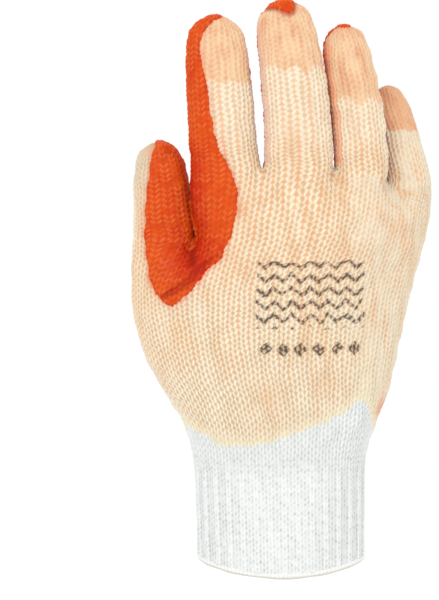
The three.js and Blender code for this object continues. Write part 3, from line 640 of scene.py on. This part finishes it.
def outline_distance(x, z, outline):
    """How far inside an outline points lie, in millimetres, below zero outside it."""
    corners = np.array(outline) * [KNUCKLE_WIDTH, FINGER_CROTCH_HEIGHT]
    inside = np.zeros(len(x), bool)
    nearest = np.full(len(x), np.inf)
    for start, end in zip(corners, np.roll(corners, -1, 0)):
        (ax, az), (bx, bz) = start, end
        if az != bz:
            crossing = ((az > z) != (bz > z)) & (x < ax + (bx - ax) * (z - az) / (bz - az))
            inside ^= crossing
        nearest = np.minimum(nearest, to_stretch(x, z, start, end))
    return np.where(inside, nearest, -nearest)


def coat_on_hand(points):
    x = points[:, 0] - MIDDLE_X
    z = points[:, 2] - CUFF_TOP
    sink = np.where(x < 0, 0.08 * PALM_DEPTH, 0.3 * PALM_DEPTH * x / KNUCKLE_WIDTH)
    palm = outline_distance(x, z, PALM_COAT)
    back = outline_distance(x, z, BACK_COAT)
    return np.where(points[:, 1] > sink, palm, back)


def place_on(digit, points):
    """Points in a digit's terms: share along, millimetres across and forward, and half its width there."""
    along = np.clip((points[:, 2] - digit["z"]) / digit["length"], 0, 1)
    side, front = digit_frame(digit, along)
    off = points - digit_centre(digit, along)
    half = digit["width"] * read([ring[:2] for ring in digit["rings"]], along) / 2
    return along, (off * side).sum(1), (off * front).sum(1), half


def coat_on_digit(digit, points):
    along, across, forward, half = place_on(digit, points)
    if digit["name"] == "thumb":
        return across - read(THUMB_COAT, along) * half
    left, right = SIDE_COAT[digit["name"]]
    forward = forward - mix(left, right, smoothstep(-0.7, 0.7, across / half))
    near, far, reach = TIP_COAT[digit["name"]]
    top = digit["z"] + digit["length"] * (1 + DOME_RISE)
    over_tip = points[:, 2] - top + mix(near, far, smoothstep(-0.9, 0.5, across / half))
    over_tip = (over_tip + reach - across - np.hypot(over_tip - reach + across, TIP_ROUNDING)) / 2
    if digit["name"] == "index":
        wrapped = read(INDEX_COAT, along) * half - across
        return np.maximum(np.maximum(forward, wrapped), over_tip)
    if digit["name"] == "little":
        forward = np.minimum(forward, LITTLE_COAT_ACROSS * half - across)
    return np.maximum(forward, over_tip)


def coat_field(points, parts):
    """How far inside the coating's edge points lie, in millimetres, with a slightly uneven edge."""
    field = np.zeros(len(points))
    for name in np.unique(parts):
        here = parts == name
        if name == "hand":
            field[here] = coat_on_hand(points[here])
        else:
            field[here] = coat_on_digit(DIGITS[name], points[here])
    return field + EDGE_WOBBLE * wobble(points, 9, 5)


def strand_relief(leg, course):
    """How far the yarn stands up, from 0 in the holes to 1 on a strand.

    Leg is 0 in the middle of a wale and 1 at its edges. The strand between them leans out as it climbs a
    course and steps back in at the top, so the holes in the middle and at the edges lie half a course apart.
    """
    rise = course - np.floor(course + 1e-6)
    lean = np.where(rise < LEAN_TOP, rise / LEAN_TOP, (1 - rise) / (1 - LEAN_TOP)) * 2 - 1
    tuck = bell(rise - 0.9, 0.09) + bell(rise + 0.1, 0.09)
    return bell(leg - 0.5 - STRAND_SWAY * lean, STRAND_WIDTH) * (1 - 0.3 * tuck)


class Stitches:
    """A fine grid over chosen quads of the cage, with its lines along and across the stitches."""

    FIELDS = ("point", "normal", "leg", "course", "number", "part")

    def __init__(self, surface, chosen, columns, rows):
        across = np.arange(WALES_PER_COLUMN * columns + 1) / columns
        leg = np.abs(2 * (across - np.floor(across)) - 1)
        blocks, quads = [], []
        count = 0
        for q in chosen:
            level = surface.start[q] + np.arange(surface.courses[q] * rows + 1) / rows
            u, course = np.meshgrid(across / WALES_PER_COLUMN, level, indexing="ij")
            point, normal = surface.sample(q, u, course)
            number = np.repeat(np.floor(across - 1e-6), len(level)) + 7 * q
            part = np.full(u.size, surface.parts[q])
            blocks.append((point.reshape(-1, 3), normal.reshape(-1, 3), np.repeat(leg, len(level)),
                           course.ravel(), number, part))
            quads.append(quads_of(count + np.arange(u.size).reshape(u.shape)))
            count += u.size
        for name, values in zip(self.FIELDS, zip(*blocks)):
            setattr(self, name, np.concatenate(values))
        self.quads = np.concatenate(quads)
        self.weld()

    def weld(self):
        """Joins the points that neighbouring quads of the cage share."""
        key = np.round(self.point / 0.002).astype(np.int64)
        _, first, inverse = np.unique(key, axis=0, return_index=True, return_inverse=True)
        self.quads = inverse.reshape(-1)[self.quads]
        for name in self.FIELDS:
            setattr(self, name, getattr(self, name)[first])
        a, b, c, d = self.quads.T
        self.quads = self.quads[(a != b) & (b != c) & (c != d) & (d != a) & (a != c) & (b != d)]

    def relief(self):
        return strand_relief(self.leg, self.course)


def add_object(name, data):
    obj = bpy.data.objects.new(name, data)
    bpy.context.collection.objects.link(obj)
    return obj


def make_object(name, points, faces, colours, normals, material):
    mesh = bpy.data.meshes.new(name)
    mesh.from_pydata((points * MM).tolist(), [], faces.tolist())
    mesh.polygons.foreach_set("use_smooth", [True] * len(mesh.polygons))
    # The colour attribute holds the dyes together with the light and shade painted on the surface.
    dye = mesh.color_attributes.new("dye", "FLOAT_COLOR", "POINT")
    dye.data.foreach_set("color", np.concatenate([colours, np.ones((len(colours), 1))], 1).ravel())
    mesh.materials.append(material)
    mesh.update()
    if normals is not None:
        mesh.normals_split_custom_set_from_vertices(normals.tolist())
    return add_object(name, mesh)


def ground_colours(grid, depth, up, patch, streak):
    """Cream strands, with peach painted as shade in the furrows between them and tan painted as shade in the
    holes, warmer up the hand.
    """
    warm = smoothstep(0.15, 0.8, up + 0.1 * patch)
    strands = blend(YELLOW_CREAM, CREAM, warm)
    # Painted shade: tan in the holes and peach in the furrows, both warmer up the hand.
    holes = blend(TAN_SHADE, mix(TAN_SHADE, PEACH, 0.55), warm)
    furrows = blend(mix(TAN_SHADE, PEACH, 0.4), PEACH, warm)
    between = blend(holes, furrows, smoothstep(0.45, 0.75, grid.leg))
    # Painted shade by depth in the knit, with uneven warm tone from the patches and streaks.
    shade_and_tone = depth * 0.95 + 0.22 * np.clip(0.5 * patch + 0.6 * streak, 0, 1) * warm
    return blend(strands, between, np.clip(shade_and_tone, 0, 1))


def digit_colours(colours, grid, depth, up, tips, streak):
    """Tinted tips, paler knit below them, and a greyer thumb."""
    fine = wobble(grid.point * [1, 1, 0.15], 3, 13)
    streaks = np.clip(0.3 * depth + 0.4 * np.clip(streak, 0, 1) + 0.35 * fine, 0, 1)
    colours = blend(colours, blend(TIP, TIP_STREAK, streaks), tips * (0.75 + 0.1 * depth))
    colours = blend(colours, TIP_STREAK, tips * ((grid.part == "little") * 0.45))
    pale = on_finger(grid) * (1 - tips) * smoothstep(0.03, 0.14, up - 1) * 0.42
    colours = blend(colours, YELLOW_CREAM, pale * (1 - 0.5 * depth))
    thumb = (grid.part == "thumb") * smoothstep(0, 0.3, up - 0.75)
    return blend(colours, THUMB_GREY, thumb * (0.5 + 0.3 * depth))


def on_finger(grid):
    return (grid.part != "hand") & (grid.part != "thumb")


def area_colours(colours, grid, depth, up, tips, patch, streak):
    """A cream palm side, warm patches on the back, peach painted as shade where the hand turns away, and a
    paler outer side.
    """
    p = grid.point
    palm = smoothstep(-0.05, 0.5, grid.normal[:, 1]) * (grid.part != "thumb")
    colours = blend(colours, PALM_CREAM, palm * (0.75 - 0.35 * depth))
    for *place, strength in BLUSHES:
        ragged = np.clip(spot(p, *place) * (1 + 0.5 * streak + 0.4 * patch), 0, 1) * (p[:, 1] < 6)
        colours = blend(colours, PEACH, ragged * strength * (1 - tips))
    # Painted shade: peach where the hand's sides turn away, weaker on the little finger's side and deeper in
    # the holes.
    turned_shade = smoothstep(0.45, 0.95, np.abs(grid.normal[:, 0])) * (grid.part == "hand")
    turned_shade *= np.where(p[:, 0] < 0, 1, 0.4)
    colours = blend(colours, PEACH, turned_shade * (0.18 + 0.3 * depth) * smoothstep(0.1, 0.3, up))
    outer = smoothstep(22, 46, p[:, 0]) * ((grid.part == "hand") | (grid.part == "little")) * (1 - tips)
    return blend(colours, SIDE_CREAM, outer * np.clip(0.62 - 0.3 * streak - 0.15 * depth, 0.1, 0.8))


def side_strips(colours, grid, streak):
    """The tinted seam down the thumb's side of the middle and ring fingers, seen where they turn away."""
    for name, (colour, inner, strength, low, high) in SIDE_STRIPS.items():
        here = grid.part == name
        along, across, _, half = place_on(DIGITS[name], grid.point[here])
        reach = smoothstep(inner + 0.05, inner - 0.05, across / half + 0.03 * streak[here])
        reach *= smoothstep(low, low + 0.05, along) * smoothstep(high, high - 0.05, along)
        share = np.zeros(len(grid.point))
        share[here] = reach * strength
        colours = blend(colours, colour, share)
    return colours


def wrist_colours(colours, grid, depth, across, patch, streak):
    """A stain at the side of the wrist, and knit that turns yellower and then white below an uneven line."""
    p = grid.point
    stain = smoothstep(-10, -7, p[:, 1]) * smoothstep(10, -3, p[:, 1]) * (1 + 0.25 * streak)
    stain = spot(p, *WRIST_STAIN) * stain
    colours = blend(colours, WRIST_ORANGE, np.clip(stain, 0, 0.8))
    line = read(WHITE_LINE, across)
    line = mix(line, WHITE_LINE_PALM + patch, smoothstep(-9, 1, p[:, 1]))
    above = np.clip(p[:, 2] - line, 0, 60)
    corner = smoothstep(30, 40, p[:, 0]) * np.exp(-above / 14) * (grid.part == "hand") * (p[:, 1] < 4)
    yellow = np.clip(0.6 * bell(above, 4) + 0.55 * corner, 0, 0.75)
    colours = blend(colours, PALM_CREAM, yellow * (1 - stain))
    below = smoothstep(0.9, -0.9, p[:, 2] - line - 0.4 * streak)
    return blend(colours, blend(WHITE, WHITE_SHADE, depth ** 2 * 0.6), below)


def knit_colours(grid, relief, tips, field):
    """The knit's colours: dyes and painted shade in the ground, tinted digits, a painted shadow line by the
    coating's edge, stains beside the coating, a white wrist and the ornament.
    """
    p = grid.point
    across, up = hand_shares(p)
    patch = wobble(p, 26, 11)
    streak = wobble(p * [1, 1, 0.3], 6, 12)
    # How deep a point lies between the strands, 1 in the holes. Wherever the colours below grow darker or
    # warmer with it, that is painted shade.
    depth = np.clip(1.1 - relief * 1.6 + 0.1 * streak, 0, 1)
    colours = ground_colours(grid, depth, up, patch, streak)
    colours = digit_colours(colours, grid, depth, up, tips, streak)
    colours = area_colours(colours, grid, depth, up, tips, patch, streak)
    colours = side_strips(colours, grid, streak)
    near = np.clip(-field, 0, 40)
    # Painted shadow: a dark red line on the knit by the coating's edge, on the thumb's side near the top of
    # the middle finger.
    coat_edge_shadow = (grid.part == "middle") * smoothstep(1.28, 1.36, up) * (across < 0)
    colours = blend(colours, SHADOW_RED, coat_edge_shadow * 0.8 * bell(near, 0.9))
    stain = np.where(on_finger(grid), 0.45, 0.5) * np.exp(-near / 1.3) * (1 + 0.3 * streak)
    colours = blend(colours, STAIN, np.clip(stain, 0, 0.75))
    colours = wrist_colours(colours, grid, depth, across, patch, streak)
    return np.clip(blend(colours, INK, printed(p, relief)), 0, 1)


def printed(points, relief):
    """How much ink a point takes: rows of chevrons over a row of diamonds, broken up by the knit."""
    x = points[:, 0] - PRINT_X + 0.3 * wobble(points, 5, 71)
    z = points[:, 2] - PRINT_Z + 0.3 * wobble(points, 5, 72)
    zigzag = np.abs(np.mod(x / PRINT_PITCH, 1) - 0.5) * 2
    row = np.mod(z / PRINT_ROW - 0.55 * zigzag, 1)
    chevrons = (np.abs(row - 0.5) < 0.17) & (z > 0) & (z < PRINT_ROWS * PRINT_ROW)
    cell = np.mod(x + PRINT_HALF_WIDTH, PRINT_PITCH) - PRINT_PITCH / 2
    diamonds = np.abs(cell) + np.abs(z + PRINT_ROW * 1.5) < PRINT_DIAMOND
    ink = (chevrons | diamonds) & (np.abs(x) < PRINT_HALF_WIDTH) & (points[:, 1] < 0)
    return ink * smoothstep(0.05, 0.45, relief + 0.2 * wobble(points, 1.5, 73)) * 0.92


def tangle(grid, amount):
    """Small uneven shifts of the stitches, the same for points that touch."""
    p = grid.point
    shift = np.stack([wobble(p, 8, seed) for seed in (21, 22, 23)], 1) * amount
    along = (shift * grid.normal).sum(1)
    return shift - along[:, None] * grid.normal


def side_swell(grid):
    """From 0 on the back and front of a finger to 1 on its sides, where neighbours press on each other."""
    swell = np.zeros(len(grid.point))
    for finger in FINGERS:
        here = grid.part == finger["name"]
        along = np.clip((grid.point[here, 2] - finger["z"]) / finger["length"], 0, 1)
        side, _ = digit_frame(finger, along)
        swell[here] = smoothstep(0.55, 0.95, np.abs((grid.normal[here] * side).sum(1)))
    return swell


def uneven(grid, seed, amount):
    """A height for each stitch of its own, fading to nothing between the stitches."""
    rng = np.random.default_rng(seed)
    table = rng.normal(size=4096) * amount
    key = (grid.number * 131 + np.floor(grid.course + 1e-6) * 17).astype(int) % 4096
    return table[key]


def extreme_field(surface, pick):
    """The least or greatest depth inside the coating's edge in each quad of the cage."""
    count = (surface.side + 1) ** 2
    return np.array([pick(coat_field(surface.points[surface.grid[q]].reshape(-1, 3),
                                     np.full(count, surface.parts[q])))
                     for q in range(len(surface.parts))])


def tip_share(grid):
    """1 on the finely knitted, tinted ends of the digits and 0 elsewhere."""
    share = np.zeros(len(grid.point))
    streak = wobble(grid.point * [1, 1, 0.35], 7, 12)
    for name, start in TINTED_TIPS.items():
        here = grid.part == name
        along = (grid.point[here, 2] - DIGITS[name]["z"]) / DIGITS[name]["length"]
        share[here] = smoothstep(start - 0.02, start + 0.02, along + 0.02 * streak[here])
    return share


def make_liner(surface, material):
    """The knit in two pieces, the hand and the digits, which share points and normals where they meet."""
    least = extreme_field(surface, np.min)
    grid = Stitches(surface, np.flatnonzero(least < HIDDEN_DEPTH), *KNIT_SAMPLES)
    field = coat_field(grid.point, grid.part)
    relief = grid.relief()
    tips = tip_share(grid)
    height = STITCH_RELIEF * relief * (1 - 0.35 * tips) * (1 + uneven(grid, 3, 0.1)) - KNIT_SINK
    height -= 0.12 * smoothstep(0.8, 1, grid.leg)
    height += SIDE_SWELL * side_swell(grid) * smoothstep(0, -2, field)
    loose = smoothstep(CUFF_TOP, CUFF_TOP + 6, grid.point[:, 2])
    height += 0.25 * loose * wobble(grid.point, 15, 25) - LINER_DEPTH
    points = grid.point + tangle(grid, 0.3) * loose[:, None] + grid.normal * height[:, None]
    points -= grid.normal * (smoothstep(0.4, 1.4, field) * 0.9)[:, None]
    faces = grid.quads[field[grid.quads].min(1) < HIDDEN_DEPTH]
    colours = knit_colours(grid, relief, tips, field)
    normals = normals_of(points, faces)
    on_hand = (grid.part == "hand")[faces].any(1)
    pieces = []
    for name, chosen in (("knit_hand", on_hand), ("knit_digits", ~on_hand)):
        used, index = np.unique(faces[chosen], return_inverse=True)
        mesh = [points[used], index.reshape(-1, 4), colours[used], normals[used]]
        if name == "knit_hand":
            inner = inner_wall(surface, LINER_DEPTH + KNIT_WALL)
            inner[1] += len(used)
            mesh = [np.concatenate(both) for both in zip(mesh, inner)]
        pieces.append(make_object(name, *mesh, material))
    return pieces


def inner_wall(surface, depth):
    """The lining, seen through the cuff's mouth, and the rim where it meets the cuff."""
    step = surface.side // 2
    ids = surface.grid[:, ::step, ::step]
    used, index = np.unique(ids, return_inverse=True)
    faces = quads_of(index.reshape(ids.shape))[:, [0, 3, 2, 1]]
    points = surface.points[used] - surface.normals[used] * depth
    shade = wobble(points, 12, 31)[:, None] * 0.04
    colours = np.clip(mix(YELLOW_CREAM, WHITE, 0.3) * 0.85 + shade, 0, 1)
    return [points, faces, colours, -surface.normals[used]]


def clip_faces(quads, values):
    """Triangles of the part where values are above zero, and the new points where they are zero."""
    triangles = np.concatenate([quads[:, [0, 1, 2]], quads[:, [0, 2, 3]]])
    inside = values[triangles] > 0
    whole = triangles[inside.all(1)]
    crossed = triangles[inside.any(1) & ~inside.all(1)]
    made, cuts, faces = {}, [], []

    def cut(a, b):
        low, high = min(a, b), max(a, b)
        if (low, high) not in made:
            share = values[low] / (values[low] - values[high])
            made[low, high] = len(values) + len(cuts)
            cuts.append((low, high, min(0.98, max(0.02, share))))
        return made[low, high]

    for triangle in crossed:
        kept = []
        for k in range(3):
            here, after = int(triangle[k]), int(triangle[(k + 1) % 3])
            if values[here] > 0:
                kept.append(here)
            if (values[here] > 0) != (values[after] > 0):
                kept.append(cut(here, after))
        faces += [(kept[0], kept[i], kept[i + 1]) for i in range(1, len(kept) - 1)]
    return np.concatenate([whole, np.array(faces, int)]), cuts


def fold_side(points):
    """The distance from the web's fold, above zero on the wrist's side of it and below on the thumb's."""
    away = near_path(points, WEB_FOLD)
    (ax, az), (bx, bz) = WEB_FOLD[0], WEB_FOLD[-1]
    turn = (bx - ax) * (points[:, 2] - az) - (bz - az) * (points[:, 0] - ax)
    return np.where(turn < 0, away, -away)


def coat_heights(base, relief, inside):
    """The coating's height over the surface: a rounded lip, the grain of the knit and the web's fold."""
    lip = np.sqrt(np.clip(1 - (1 - np.clip(inside / COAT_LIP, 0, 1)) ** 2, 0, 1))
    height = (lip - 1) * (COAT_THICKNESS + 0.75) + lip * COAT_RELIEF * (relief - 0.75)
    height += 0.14 * lip * wobble(base, 5, 41) + 0.12 * bell(inside - 1.6, 0.9)
    fold = fold_side(base)
    folded = 0.55 * bell(fold + 1, 1.6) - smoothstep(-0.3, 0.6, fold) * smoothstep(9, 5, fold)
    height += (base[:, 1] < 6) * smoothstep(0.8, 2.2, inside) * folded
    return np.minimum(height, COAT_RISE_MOST)


def coat_colours(base, normal, relief, middle):
    """Orange, with painted shade deeper in the grain, the folds and round the web's crease, painted shadow in
    the crease and under the web's fold, and a painted highlight stroke halfway up each stitch.
    """
    back = base[:, 1] < 0
    crease = near_path(base, WEB_CREASE)
    valley_shade = back * bell(crease, VALLEY_SHADE_REACH)
    patch = wobble(base, 26, 44)
    folds = np.clip(fold_depth(base, normal) / 3, 0, 1)
    # Painted shade: darker in the grain's hollows, in the folds and round the web's crease, with random
    # patches of darker tone.
    shade = 0.5 - 0.55 * relief + 0.1 * wobble(base, 6, 42) + 0.07 * patch + 0.75 * valley_shade + 0.5 * folds
    colours = blend(ORANGE, SHADED_ORANGE, np.clip(shade, 0, 1))
    # A painted highlight halfway up each stitch on the raised strands, weaker on the back, in the folds and
    # round the crease.
    painted_glint = middle * smoothstep(0.55, 0.92, relief)
    painted_glint *= np.clip(0.8 + 0.1 * wobble(base, 3.5, 45) + 0.06 * patch, 0, 1) * np.where(back, 0.5, 0.75)
    colours = blend(colours, GLINT, painted_glint * (1 - valley_shade) * (1 - 0.7 * folds))
    # A painted shadow line along the bottom of the crease.
    colours = blend(colours, SHADOW_RED, back * 0.75 * bell(crease, CREASE_SHADOW_REACH))
    # Painted shadow just under the web's fold.
    shadow_under_fold = back * bell(fold_side(base) - 0.7, 0.9)
    return np.clip(blend(colours, SHADED_ORANGE * 0.75, shadow_under_fold * 0.75), 0, 1)


def make_coating(surface, material):
    most = extreme_field(surface, np.max)
    grid = Stitches(surface, np.flatnonzero(most > -1), *COAT_SAMPLES)
    field = coat_field(grid.point, grid.part)
    faces, cuts = clip_faces(grid.quads, field)
    low, high, share = (np.array(column) for column in zip(*cuts))

    def with_cuts(values):
        weights = share if values.ndim == 1 else share[:, None]
        return np.concatenate([values, mix(values[low], values[high], weights)])

    base = with_cuts(grid.point)
    normal = unit(with_cuts(grid.normal))
    relief = with_cuts(grid.relief() * (1 + uneven(grid, 4, 0.3)))
    middle = with_cuts(bell(grid.course - np.floor(grid.course + 1e-6) - 0.38, 0.26))
    inside = np.concatenate([field, np.zeros(len(cuts))])
    points = base + normal * coat_heights(base, relief, inside)[:, None]
    colours = coat_colours(base, normal, relief, middle)
    used, index = np.unique(faces, return_inverse=True)
    return make_object("latex_coating", points[used], index.reshape(-1, 3), colours[used], None, material)


def wrist_points(angle_share, height, depth):
    """Points on the cuff: a share of the way round, a height, and how far inside the outermost surface."""
    weights = np.ones(WRIST_SAMPLES)
    left, right = WRIST_OFFSET - CUFF_WIDTH / 2, WRIST_OFFSET + CUFF_WIDTH / 2
    ring = hand_section(left, right, CUFF_DEPTH, 0, 0, 0, weights)
    along = np.roll(ring, -1, 0) - np.roll(ring, 1, 0)
    normal = unit(np.stack([along[:, 1], -along[:, 0], np.zeros(WRIST_SAMPLES)], 1))
    place = np.mod(angle_share * WRIST_SAMPLES - 0.5, WRIST_SAMPLES)
    low = np.floor(place).astype(int) % WRIST_SAMPLES
    s = (place - np.floor(place))[:, None]
    high = (low + 1) % WRIST_SAMPLES
    base = mix(ring[low], ring[high], s)
    out = unit(mix(normal[low], normal[high], s))
    widen = mix(CUFF_TAPER, 1, height / CUFF_TOP)
    x = base[:, 0] * widen + WRIST_OFFSET * (height / CUFF_TOP - 1)
    y = base[:, 1] * widen
    points = np.stack([x, y, height], 1) - out * depth[:, None]
    return points, out


def corner_lift(points, share):
    return (points[:, 0] * 2 / CUFF_WIDTH) ** 2 * CORNER_RISE * share


def band(ids):
    """Quads between neighbouring columns of points, round to the first again."""
    return quads_of(np.concatenate([ids, ids[:1]]))


def grid_of(first, second):
    return (m.ravel() for m in np.meshgrid(first, second, indexing="ij"))


def cuff_lining(low, high):
    around, up = LINING_SAMPLES
    turn, rise = grid_of(np.arange(around) / around, np.linspace(0, 1, up + 1))
    points, _ = wrist_points(turn, mix(low, high, rise), np.full(len(turn), LINER_DEPTH + CUFF_WALL))
    points[:, 2] += corner_lift(points, 1 - rise)
    return points, band(np.arange(len(turn)).reshape(around, up + 1))[:, [0, 3, 2, 1]]


def make_cuff(material):
    """Ribs of one stitch in two, deep at the sides and the palm and almost pulled flat on the back."""
    columns, rows = CUFF_SAMPLES
    low, high = EDGE_HEIGHT - 0.6, CUFF_TOP
    courses = round((high - low) / CUFF_COURSE)
    n = courses * rows + 2
    wale, level = grid_of(np.arange(CUFF_WALES * columns) / columns, np.arange(n) / rows)
    inside = wale - np.floor(wale)
    relief = strand_relief(np.abs(2 * inside - 1), level)
    t = level / courses
    height = mix(low, high, t)
    t = np.minimum(t, 1)
    base, out = wrist_points(wale / CUFF_WALES, height, np.full(len(wale), LINER_DEPTH))
    rib = np.where(np.floor(wale) % 2 == 0, 1, 0) * np.sin(math.pi * inside) ** 0.5
    side = smoothstep(0.25, 0.8, np.abs(base[:, 0] - WRIST_OFFSET) * 2 / CUFF_WIDTH)
    palm = smoothstep(-4, 8, base[:, 1])
    strength = np.maximum(0.25 + 0.75 * side, palm * 0.8) * smoothstep(0, 0.15, 1 - t)
    stretch = wobble(base, 14, 51)
    depth = 0.35 - 0.3 * relief - 0.75 * rib * strength + 0.35 * strength - 0.12 * stretch
    depth = mix(depth, KNIT_SINK - STITCH_RELIEF * relief, smoothstep(0.8, 1, t)) + 0.35 * (level > courses)
    points = base - out * depth[:, None]
    points[:, 2] += corner_lift(points, 1 - t)
    # Painted shade: greyer in the knit's holes and in the furrows between the ribs, with a faint uneven tone.
    hole = np.clip(1.1 - relief * 1.6, 0, 1) ** 2 * np.clip(0.5 + 0.3 * wobble(base, 3.5, 52), 0.15, 1)
    dark = hole + strength * (1 - rib) * 0.25 + 0.03 * stretch
    colours = blend(WHITE, WHITE_SHADE, np.clip(dark, 0, 1))
    lining, back = cuff_lining(low, high)
    faces = np.concatenate([band(np.arange(len(wale)).reshape(-1, n)), back + len(points)])
    colours = np.concatenate([colours, np.tile(WHITE * 0.9, (len(lining), 1))])
    return make_object("rib_cuff", np.concatenate([points, lining]), faces, colours, None, material)


def make_edge(material):
    """The bound edge: a rounded roll wrapped in slanting turns of thread."""
    steps, around = EDGE_SAMPLES
    count = EDGE_TURNS * steps
    turn, angle = grid_of(np.arange(count) / count, np.arange(around) / around * 2 * math.pi)
    phase = turn * EDGE_TURNS + angle / (2 * math.pi) * 1.2
    wrap = np.abs(np.sin(math.pi * phase)) ** 0.6
    circle = np.stack([np.cos(turn * 2 * math.pi), np.sin(turn * 2 * math.pi), 0 * turn], 1) * 30
    radius = (EDGE_RADIUS + 0.1 * wrap) * (1 + 0.12 * wobble(circle, 12, 61))
    points, out = wrist_points(turn, np.full(len(turn), EDGE_MIDDLE), np.full(len(turn), LINER_DEPTH + 0.9))
    points = points + out * (np.cos(angle) * radius * 0.95)[:, None]
    points[:, 2] = EDGE_MIDDLE + np.sin(angle) * radius + corner_lift(points, 1)
    ids = np.arange(len(turn)).reshape(count, around)
    # Painted shade: the roll is darker on its underside, where it also turns a warmer thread colour, and
    # darker in the grooves between the turns.
    under = smoothstep(0.1, -0.7, np.sin(angle))
    colours = blend(WHITE, THREAD * 0.85, under) * (0.9 + 0.1 * wrap)[:, None]
    return make_object("cuff_edge", points, band(np.column_stack([ids, ids[:, 0]])), colours, None, material)


class Nodes:
    """A short way to add and link shader nodes."""

    def __init__(self, name):
        self.material = bpy.data.materials.new(name)
        self.material.use_nodes = True
        self.tree = self.material.node_tree
        self.shader = self.tree.nodes["Principled BSDF"]

    def feed(self, node, inputs):
        """Sets a node's inputs to plain values, or links them to sockets."""
        for key, value in inputs.items():
            if isinstance(value, bpy.types.NodeSocket):
                self.tree.links.new(value, node.inputs[key])
            else:
                node.inputs[key].default_value = value

    def add(self, kind, inputs=None, **settings):
        node = self.tree.nodes.new("ShaderNode" + kind)
        for key, value in settings.items():
            setattr(node, key, value)
        self.feed(node, inputs or {})
        return node

    def noise(self, scale, detail, stretch=None):
        where = self.add("TexCoord").outputs["Object"]
        if stretch:
            where = self.add("Mapping", {"Vector": where, "Scale": stretch}).outputs[0]
        return self.add("TexNoise", {"Vector": where, "Scale": scale, "Detail": detail}).outputs["Fac"]

    def between(self, factor, low, high):
        return self.add("MapRange", {"Value": factor, "To Min": low, "To Max": high}).outputs[0]

    def dye(self, factor, low, high):
        """The mesh's own colours, dyes and painted light and shade alike, made lighter or darker, from low to
        high as the factor goes from 0 to 1.
        """
        dye = self.add("VertexColor", layer_name="dye").outputs["Color"]
        value = self.between(factor, low, high)
        return self.add("VectorMath", {0: dye, "Scale": value}, operation="SCALE").outputs[0]

    def bump(self, height, distance, strength, below=None):
        inputs = {"Height": height, "Distance": distance, "Strength": strength}
        if below is not None:
            inputs["Normal"] = below
        return self.add("Bump", inputs).outputs[0]


def yarn_material(name):
    nodes = Nodes(name)
    fibre = nodes.noise(1500, 3, (1, 1, 0.35))
    fluff = nodes.noise(420, 4)
    nodes.feed(nodes.shader, {
        "Base Color": nodes.dye(fibre, 0.86, 1.084),
        "Normal": nodes.bump(fibre, 0.00025, 0.6, nodes.bump(fluff, 0.0006, 0.5)),
        "Roughness": 0.9,
        "Sheen Weight": 0.25,
        "Sheen Roughness": 0.5,
        "Specular IOR Level": 0.25,
    })
    return nodes.material


def rubber_material(name):
    nodes = Nodes(name)
    crinkle = nodes.noise(900, 5)
    roll = nodes.noise(240, 3)
    nodes.feed(nodes.shader, {
        "Base Color": nodes.dye(nodes.noise(260, 4), 0.9, 1.1),
        "Normal": nodes.bump(crinkle, 0.0003, 0.5, nodes.bump(roll, 0.0008, 0.4)),
        "Roughness": 0.5,
        "Coat Weight": 0.15,
        "Coat Roughness": 0.22,
        "Specular IOR Level": 0.0,
    })
    return nodes.material


def declare(piece, node):
    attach(piece, "root")
    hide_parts(node)


def aim_object(obj, place, aim):
    obj.location = place
    obj.rotation_euler = (Vector(aim) - Vector(place)).to_track_quat("-Z", "Y").to_euler()


def area_light(name, place, aim, size, power):
    lamp = bpy.data.lights.new(name, "AREA")
    lamp.shape = "RECTANGLE"
    lamp.size, lamp.size_y = size
    lamp.energy = power
    aim_object(add_object(name, lamp), place, aim)


def make_floor():
    mesh = bpy.data.meshes.new("floor")
    far = FLOOR_REACH
    mesh.from_pydata([(-far, -far, 0), (far, -far, 0), (far, far, 0), (-far, far, 0)], [], [(0, 1, 2, 3)])
    floor = add_object("floor", mesh)
    floor.location = (0, 0, FLOOR_HEIGHT)
    nodes = Nodes("floor")
    shade = nodes.between(nodes.noise(3, 2), 0.9801, 0.99)
    nodes.feed(nodes.shader, {"Base Color": shade, "Roughness": 0.9})
    mesh.materials.append(nodes.material)


def make_world():
    bpy.context.scene.view_settings.view_transform = "Standard"
    world = bpy.data.worlds.new("studio")
    world.use_nodes = True
    background = world.node_tree.nodes["Background"]
    background.inputs["Color"].default_value = (1, 1, 1, 1)
    background.inputs["Strength"].default_value = WORLD_LIGHT
    bpy.context.scene.world = world


def make_camera():
    lens = bpy.data.cameras.new("camera")
    lens.sensor_fit = "VERTICAL"
    lens.sensor_height = 36
    lens.lens = 36 * CAMERA_DISTANCE / FRAME_HEIGHT
    lens.clip_end = 20
    camera = add_object("camera", lens)
    tilt = math.radians(CAMERA_ELEVATION)
    aim = Vector(CAMERA_AIM)
    aim_object(camera, aim + Vector((0, -math.cos(tilt), math.sin(tilt))) * CAMERA_DISTANCE, aim)
    bpy.context.scene.camera = camera


make_world()
make_camera()
make_floor()
for light in LIGHTS:
    area_light(*light)

surface = Surface(build_cage())
for piece in make_liner(surface, yarn_material("cream knit")):
    declare(piece, "knit_liner")
declare(make_coating(surface, rubber_material("orange latex")), "latex_coating")
declare(make_cuff(yarn_material("white rib")), "rib_cuff")
declare(make_edge(yarn_material("edge thread")), "cuff_edge")
